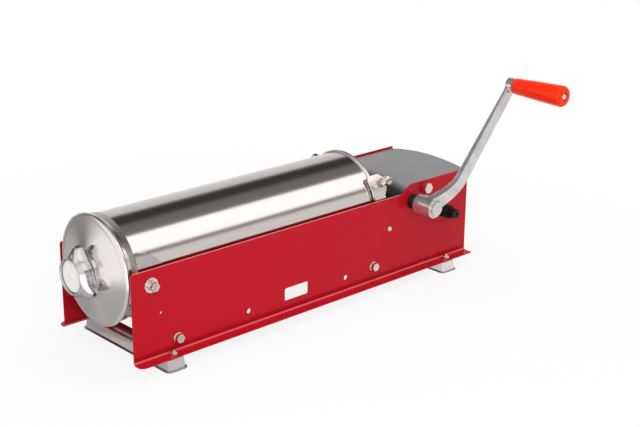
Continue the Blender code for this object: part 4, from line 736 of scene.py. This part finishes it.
class STUFFER_OT_outlet(bpy.types.Operator):
    """Makes the spigot, the ring nut with its finger lobes and the disc that it holds"""
    bl_idname = "stuffer.outlet"
    bl_label = "Outlet"

    lobe: FloatProperty(
        name="Lobe", description="Height of the finger lobes", default=0.0135, unit="LENGTH")
    sweep: FloatProperty(
        name="Sweep", description="How far the lobes' tips lie behind the collar", default=0.0045,
        unit="LENGTH")
    lobes: IntProperty(name="Lobes", description="Number of finger lobes", default=3, min=2, max=6)

    def execute(self, context):
        refined("spigot", sizes().small_edge)
        rear, front = high("ring_nut").x, low("ring_nut").x
        body = 0.033
        shoulder = body - 0.0015
        collar = 0.0292
        opening = 0.0258
        bore = 0.0285
        lip = high("plug_disc").x - 0.0034
        outline = [
            (rear, shoulder), (rear - 0.003, body), (front + 0.008, body), (front + 0.005, shoulder),
            (front + 0.0015, collar), (front, collar - 0.0007), (front, opening),
            (lip, opening), (lip, bore), (rear, bore), (rear, shoulder),
        ]
        profile = softened(outline, radius=0.0009, steps=3)[:-1]
        bm = turned(profile, (0, 0, AXIS_Z), (1, 0, 0), sizes().turns, closed=True)
        for vert in bm.verts:
            self.raise_lobe(vert, rear, front, body)
        add_piece("ring_nut_casting", bm, "nut_casting", "ring_nut", ("ring_nut",), sharp=60)
        self.disc()
        return {"FINISHED"}

    def raise_lobe(self, vert, rear, front, body):
        """Moves a point of the nut's outer wall out to the finger lobes, which sweep back from the collar."""
        y, z = vert.co.y, vert.co.z - AXIS_Z
        radius = math.hypot(y, z)
        root = 0.0290
        sharpness = 4
        if radius < root:
            return
        share = min(1.0, (radius - root) / (body - root))
        bulge = ((1 + math.cos(self.lobes * math.atan2(y, z))) / 2) ** sharpness
        scale = 1 + self.lobe * bulge * math.sin(share * math.pi / 2) / radius
        vert.co.y = y * scale
        vert.co.z = AXIS_Z + z * scale
        if vert.co.x < (front + rear) / 2:
            vert.co.x += self.sweep * bulge * share

    def disc(self):
        """A slightly dished disc with a moulding mark in its middle and a flange behind the nut's lip."""
        seat, face = high("plug_disc").x, low("plug_disc").x
        face_r = 0.0252
        flange_r = 0.0275
        flange = 0.0025
        outline = [
            (face, 0.0), (face, 0.002), (face + 0.0005, 0.0026), (face + 0.0009, 0.016),
            (face + 0.0005, 0.0205), (face + 0.0008, 0.0246), (face + 0.0016, face_r),
            (seat - flange, face_r), (seat - flange, flange_r), (seat, flange_r), (seat, 0.0),
        ]
        profile = softened(outline, radius=0.0004, steps=2)
        bm = turned(profile, (0, 0, AXIS_Z), (1, 0, 0), sizes().turns)
        add_piece("outlet_disc", bm, "white_plastic", "plug", ("plug_disc",), sharp=50)


class STUFFER_OT_crank(bpy.types.Operator):
    """Dresses the crank casting, the shafts and the bushes that it turns in"""
    bl_idname = "stuffer.crank"
    bl_label = "Crank and shafts"

    def execute(self, context):
        refined("crank", sizes().cast_edge, segments=3, corner=40, sharp=55)
        bushes = ("slow_shaft_bush", "fast_shaft_bush", "fast_shaft_far_bush", "slow_shaft_inner_bush")
        for node in ("slow_shaft", "fast_shaft", *bushes):
            refined(node, sizes().small_edge)
        return {"FINISHED"}


class STUFFER_OT_grip(bpy.types.Operator):
    """Makes the tapered grip and its spindle"""
    bl_idname = "stuffer.grip"
    bl_label = "Grip"

    def execute(self, context):
        start, end = high("grip").y, low("grip").y
        centre = (GRIP_AXIS.x, 0, GRIP_AXIS.z)
        large = (high("grip").x - low("grip").x) / 2
        small = 0.0137
        recess = 0.0070
        depth = 0.006
        bore = 0.0043
        length = start - end
        crown = 0.006
        chamfer = 0.0015
        outline = [(start, bore), (start, small - chamfer), (start - chamfer, small)]
        steps = 18
        for i in range(1, steps + 1):
            t = i / steps
            swell = (math.sin(t * math.pi / 2) + t) / 2
            outline.append((start - (length - crown) * t, small + (large - small) * swell))
        outline += arc((end + crown, large - crown), crown, 0, -90, steps=6)[1:]
        outline += [(end, recess), (end + depth, recess), (end + depth, bore)]
        bm = turned(outline, centre, (0, 1, 0), sizes().small_turns, closed=True)
        add_piece("grip_moulding", bm, "orange_plastic", "grip", ("grip",), sharp=45)
        self.spindle(centre)
        return {"FINISHED"}

    def spindle(self, centre):
        """Spindle with a domed head and a centre mark."""
        head = low("grip_spindle").y
        back = high("grip_spindle").y
        head_r = 0.0050
        head_height = 0.003
        shank = 0.004
        outline = [
            (head + 0.0009, 0.0), (head + 0.0005, 0.0010), (head, 0.0015), (head, 0.0034),
            (head + 0.0012, head_r), (head + head_height, head_r), (head + head_height, shank),
            (back, shank), (back, 0.0),
        ]
        profile = softened(outline, radius=0.0004, steps=2)
        bm = turned(profile, centre, (0, 1, 0), sizes().small_turns)
        add_piece("grip_spindle_turned", bm, "bright_zinc", "slow_drive", ("grip_spindle",), sharp=45)


class STUFFER_OT_latches(bpy.types.Operator):
    """Dresses the two rim latches with their rivets and knobs"""
    bl_idname = "stuffer.latches"
    bl_label = "Latches"

    lean: FloatProperty(
        name="Lean", description="How far the lever's upper end reaches forwards over the rim", default=0.009,
        unit="LENGTH")
    head_start: FloatProperty(
        name="Head start", description="Where the knob's head starts, from the barrel's axis", default=0.0945,
        unit="LENGTH")
    head_growth: FloatProperty(
        name="Head growth", description="Share by which the knob's head is widened", default=0.2,
        min=0, max=0.5)

    def execute(self, context):
        for label in ("near", "far"):
            refined(f"latch_lever_{label}", sizes().small_edge, sharp=30, shape=self.reach_forwards)
            refined(f"latch_knob_{label}", sizes().small_edge, sharp=50, shape=self.widen_head)
            refined(f"latch_rivet_{label}", sizes().small_edge, sharp=50)
        return {"FINISHED"}

    def widen_head(self, bm):
        """Widens the knob's head round its own axis, which points straight out from the barrel's axis."""
        middle_x = middle("latch_knob_near").x
        centre = sum((vert.co for vert in bm.verts), Vector()) / len(bm.verts)
        outward = Vector((0, centre.y, centre.z - AXIS_Z)).normalized()
        foot = Vector((middle_x, 0, AXIS_Z))
        shank = 0.0045
        for vert in bm.verts:
            along = (vert.co - foot).dot(outward)
            across = vert.co - foot - outward * along
            if along > self.head_start and across.length > shank:
                vert.co += across * self.head_growth

    def reach_forwards(self, bm):
        """Draws the front edge out over the rolled rim, more towards the lever's upper end."""
        top = high("latch_lever_near").z
        front = low("latch_lever_near").x
        edge_zone = 0.007
        for vert in bm.verts:
            share = (vert.co.z - AXIS_Z) / (top - AXIS_Z)
            if share > 0 and vert.co.x < front + edge_zone:
                vert.co.x -= self.lean * share


class STUFFER_OT_fasteners(bpy.types.Operator):
    """Dresses the nuts, bolts, washers, rods and tubes, and cuts threads on the ends that show"""
    bl_idname = "stuffer.fasteners"
    bl_label = "Fasteners"

    def execute(self, context):
        sides = ("near", "far")
        ends = ("front", "rear")
        names = [f"pivot_{kind}_{side}" for kind in ("washer", "nut", "lock_nut") for side in sides]
        names += [f"{end}_foot_bolt_{side}" for end in ends for side in sides]
        names += [f"{end}_tie_{kind}" for end in ends for kind in ("bolt", "nut")]
        names += ["cross_bolt", "cross_bolt_nut", "cross_sleeve_near", "cross_sleeve_far",
                  "front_spacer_tube", "barrel_rest_tube"]
        for name in names:
            refined(name, sizes().small_edge, sharp=40)
        for end in ends:
            nut, bolt = f"{end}_tie_nut", f"{end}_tie_bolt"
            self.thread(f"{end}_tie_thread", middle(nut), high(nut).y, high(bolt).y)
        return {"FINISHED"}

    def thread(self, name, centre, start, end):
        """Crests of a thread round a rod's end, as a sleeve just proud of it."""
        pitch = sizes().thread_pitch
        inside, root, crest = 0.0034, 0.0040, 0.00425
        count = max(2, int((end - start - pitch) / pitch))
        profile = [(start + GAP, root)]
        for i in range(count):
            at = start + GAP + pitch * i
            profile += [(at + pitch * 0.3, crest), (at + pitch * 0.5, crest), (at + pitch * 0.9, root)]
        profile += [(profile[-1][0], inside), (start + GAP, inside)]
        bm = turned(profile, (centre.x, 0, centre.z), (0, 1, 0), sizes().small_turns, closed=True)
        add_piece(name, bm, "bright_zinc", "chassis", sharp=25)


class STUFFER_OT_drive(bpy.types.Operator):
    """Dresses the piston, the rack, the gears and the backing roller"""
    bl_idname = "stuffer.drive"
    bl_label = "Piston and gears"

    def execute(self, context):
        for node in ("piston_plate", "piston_back_plate", "piston_seal", "piston_nut", "backup_roller"):
            refined(node, sizes().small_edge, sharp=40)
        for node in ("rack", "main_gear", "rack_pinion", "slow_pinion"):
            refined(node, sizes().small_edge * 0.6, segments=1, corner=50, sharp=30)
        return {"FINISHED"}


class STUFFER_OT_stage(bpy.types.Operator):
    """Makes the floor, the soft studio light and the camera"""
    bl_idname = "stuffer.stage"
    bl_label = "Studio"

    # Levels of what metal mirrors low down, by direction in degrees
    around = (
        (-180, 0.90), (-160, 0.82), (-135, 0.90), (-112, 0.75), (-88, 0.66), (-72, 1.9), (-22, 1.9),
        (-8, 1.1), (20, 1.15), (42, 1.18), (50, 0.60), (58, 0.14), (66, 0.12), (76, 0.36), (100, 0.40),
        (122, 0.95), (180, 0.95),
    )
    # Darker levels that the floor glows with for metal near the cap: painted shade under the cap
    under_cap = (
        (-180, 0.58), (-80, 0.45), (-10, 0.62), (12, 0.58), (23, 0.30), (40, 0.32), (52, 0.38), (66, 0.30),
        (76, 0.22), (100, 0.26), (122, 0.57), (180, 0.58),
    )
    # Levels round the barrel's axis, by angle in degrees, and from the horizon to the zenith
    bands = (
        (-180, 0.75), (-30, 0.70), (12, 0.74), (22, 0.74), (27, 0.24), (31, 0.24), (36, 1.35), (71, 1.35),
        (75, 0.20), (80, 0.18), (98, 0.16), (109, 0.045), (127, 0.035), (134, 0.12), (141, 0.62),
        (180, 0.80),
    )
    heights = ((0.0, 0.4), (0.42, 1.0), (0.75, 1.25), (1.0, 0.3))
    # The middle of the machine, and how far ahead of it the cap stands
    middle_x = 0.3
    cap_ahead = 0.35

    def execute(self, context):
        self.floor()
        self.world()
        self.lamps()
        self.camera()
        context.scene.view_settings.view_transform = "Standard"
        return {"FINISHED"}

    def floor(self):
        bm = bmesh.new()
        bmesh.ops.create_grid(bm, x_segments=1, y_segments=1, size=9.0)
        mesh = bpy.data.meshes.new("studio_floor")
        bm.to_mesh(mesh)
        bm.free()
        floor = bpy.data.objects.new("studio_floor", mesh)
        bpy.context.scene.collection.objects.link(floor)
        floor.location = (self.middle_x, 0, -0.0002)
        mesh.materials.append(self.floor_finish())

    def floor_finish(self):
        """Paper with soft shadows near the object; the camera sees it white, and for glossy rays it glows
        with a ring of painted light levels, darker near the cap as painted shade.
        """
        finish = Finish("studio_floor", specular=0.0)
        where = finish.place()
        tone = tuple(colours().floor)
        grain = finish.noise(where, 3.0, 3.0)
        finish.surface(finish.mix(grain.clipped(0.3, 0.7), shaded(tone, 0.99), tone), 0.9)
        white = finish.node("ShaderNodeEmission", {}, {"Color": (1, 1, 1), "Strength": 1.0})
        away = finish.node("ShaderNodeVectorMath", {"operation": "LENGTH"}, {0: where}, 1)
        x, y, _ = finish.split(where)
        values = {0: where, 1: (self.cap_ahead, 0, 0)}
        from_cap = finish.node("ShaderNodeVectorMath", {"operation": "ADD"}, values)
        beside = finish.node("ShaderNodeVectorMath", {"operation": "LENGTH"}, {0: from_cap}, 1)
        round_about = finish.mix(
            beside.clipped(0.24, 0.42),
            self.surroundings(finish, x + self.cap_ahead, y, self.under_cap),
            self.surroundings(finish, x + self.cap_ahead, y, self.around))
        # The floor glows with these levels for glossy rays only: a painted reflection of a studio round the
        # object
        sheet = finish.node("ShaderNodeEmission", {}, {"Color": round_about, "Strength": 1.0})
        seen = finish.seen_by("Is Camera Ray") * (away.clipped(0.45, 1.1) * 0.14 + 0.86)
        rays = finish.seen_by("Is Glossy Ray") + finish.seen_by("Is Transmission Ray")
        mirrored = rays.clipped(0.0, 1.0) * 0.75
        body = Signal(finish, finish.shader.outputs[0])
        shown = finish.node("ShaderNodeMixShader", {}, {0: seen, 1: body, 2: white})
        mixed = finish.node("ShaderNodeMixShader", {}, {0: mirrored, 1: shown, 2: sheet})
        output = finish.tree.nodes["Material Output"]
        finish.put(output.inputs["Surface"], mixed)
        return finish.material

    def ring(self, nodes, first, second, levels, tint):
        """A ring of pale paper and dark screens, by the direction that two numbers point in."""
        turn = nodes.node("ShaderNodeMath", {"operation": "ARCTAN2"}, {0: first, 1: second * -1.0})
        stops = [((angle / 180 + 1) / 2, shaded(tint, level)) for angle, level in levels]
        return nodes.node("ShaderNodeValToRGB", {"stops": stops}, {0: turn * (0.5 / math.pi) + 0.5})

    def surroundings(self, nodes, x, y, levels):
        """What metal mirrors low down, where x and y point."""
        return self.ring(nodes, y, x, levels, (1, 0.975, 0.97))

    def world(self):
        """A studio of soft bands round the barrel's axis for reflections, plain light for the rest."""
        world = bpy.data.worlds.new("studio")
        bpy.context.scene.world = world
        world.use_nodes = True
        nodes = Nodes(world.node_tree)
        way = nodes.node("ShaderNodeTexCoord", output=0)
        x, y, z = nodes.split(way)
        bands = self.ring(nodes, z, y, self.bands, (1, 0.955, 0.935))
        stops = [(height, shaded((1, 0.98, 0.98), level)) for height, level in self.heights]
        above = nodes.node("ShaderNodeValToRGB", {"stops": stops}, {0: z})
        above = nodes.mix(y.clipped(0.1, 0.6), above, (0.16, 0.157, 0.157))
        ahead = nodes.mix(z.clipped(0.12, 0.4), self.surroundings(nodes, x, y, self.around), above)
        room = nodes.mix(x.clipped(-0.1, -0.5), bands, ahead)
        plain = (0.62, 0.62, 0.62)
        colour = nodes.mix(nodes.seen_by("Is Glossy Ray"), plain, room)
        colour = nodes.mix(nodes.seen_by("Is Camera Ray"), colour, (1, 1, 1))
        background = nodes.tree.nodes["Background"]
        nodes.put(background.inputs["Color"], colour)

    def lamps(self):
        """A key from the upper left in front, and a soft light from above."""
        aim = Vector((self.middle_x, 0, 0.1))
        for name, place, size, power in (
            ("key_light", (-1.1, -1.9, 1.9), 1.4, 32.0),
            ("top_light", (0.5, -0.2, 2.2), 1.6, 16.0),
        ):
            lamp = bpy.data.lights.new(name, "AREA")
            lamp.size = size
            lamp.energy = power
            holder = bpy.data.objects.new(name, lamp)
            holder.location = place
            holder.rotation_euler = (aim - Vector(place)).to_track_quat("-Z", "Y").to_euler()
            holder.visible_glossy = False
            bpy.context.scene.collection.objects.link(holder)

    def camera(self):
        """Camera at the photograph's viewing angle, place and lens."""
        place = (-1.02985, -1.5474, 0.8585)
        focal_length, sensor = 72.79, 36.0      # in millimetres
        turn, rise, roll = (math.radians(angle) for angle in (-43.0032, 19.012, 0.4655))
        back = Vector((math.sin(turn) * math.cos(rise), -math.cos(turn) * math.cos(rise), math.sin(rise)))
        right = (-back).cross(Vector((0, 0, 1))).normalized()
        up = right.cross(-back)
        across = right * math.cos(roll) + up * math.sin(roll)
        above = up * math.cos(roll) - right * math.sin(roll)
        lens = bpy.data.cameras.new("photo_camera")
        lens.sensor_width = sensor
        lens.lens = focal_length
        lens.clip_end = 50.0
        camera = bpy.data.objects.new("photo_camera", lens)
        facing = Matrix((across, above, back)).transposed().to_4x4()
        camera.matrix_world = Matrix.Translation(place) @ facing
        bpy.context.scene.collection.objects.link(camera)
        bpy.context.scene.camera = camera


OPERATORS = (
    STUFFER_OT_panels, STUFFER_OT_feet, STUFFER_OT_barrel, STUFFER_OT_cap, STUFFER_OT_outlet,
    STUFFER_OT_crank, STUFFER_OT_grip, STUFFER_OT_latches, STUFFER_OT_fasteners, STUFFER_OT_drive,
    STUFFER_OT_stage,
)


class STUFFER_PT_panel(bpy.types.Panel):
    """Lists the stuffer's settings and the steps that dress it"""
    bl_label = "Sausage stuffer"
    bl_idname = "STUFFER_PT_panel"
    bl_space_type = "VIEW_3D"
    bl_region_type = "UI"
    bl_category = "Stuffer"

    def draw(self, context):
        for group in (context.scene.stuffer_sizes, context.scene.stuffer_colours):
            box = self.layout.box()
            for name in group.bl_rna.properties.keys():
                if name not in ("rna_type", "name"):
                    box.prop(group, name)
        for operator in OPERATORS:
            self.layout.operator(operator.bl_idname)


CLASSES = (StufferSizes, StufferColours, *OPERATORS, STUFFER_PT_panel)


def register():
    for cls in CLASSES:
        bpy.utils.register_class(cls)
    bpy.types.Scene.stuffer_sizes = PointerProperty(type=StufferSizes)
    bpy.types.Scene.stuffer_colours = PointerProperty(type=StufferColours)


def unregister():
    del bpy.types.Scene.stuffer_colours
    del bpy.types.Scene.stuffer_sizes
    for cls in reversed(CLASSES):
        bpy.utils.unregister_class(cls)


def main():
    register()
    for operator in OPERATORS:
        group, name = operator.bl_idname.split(".")
        getattr(getattr(bpy.ops, group), name)()
    bpy.context.view_layer.update()


if __name__ == "__main__":
    main()
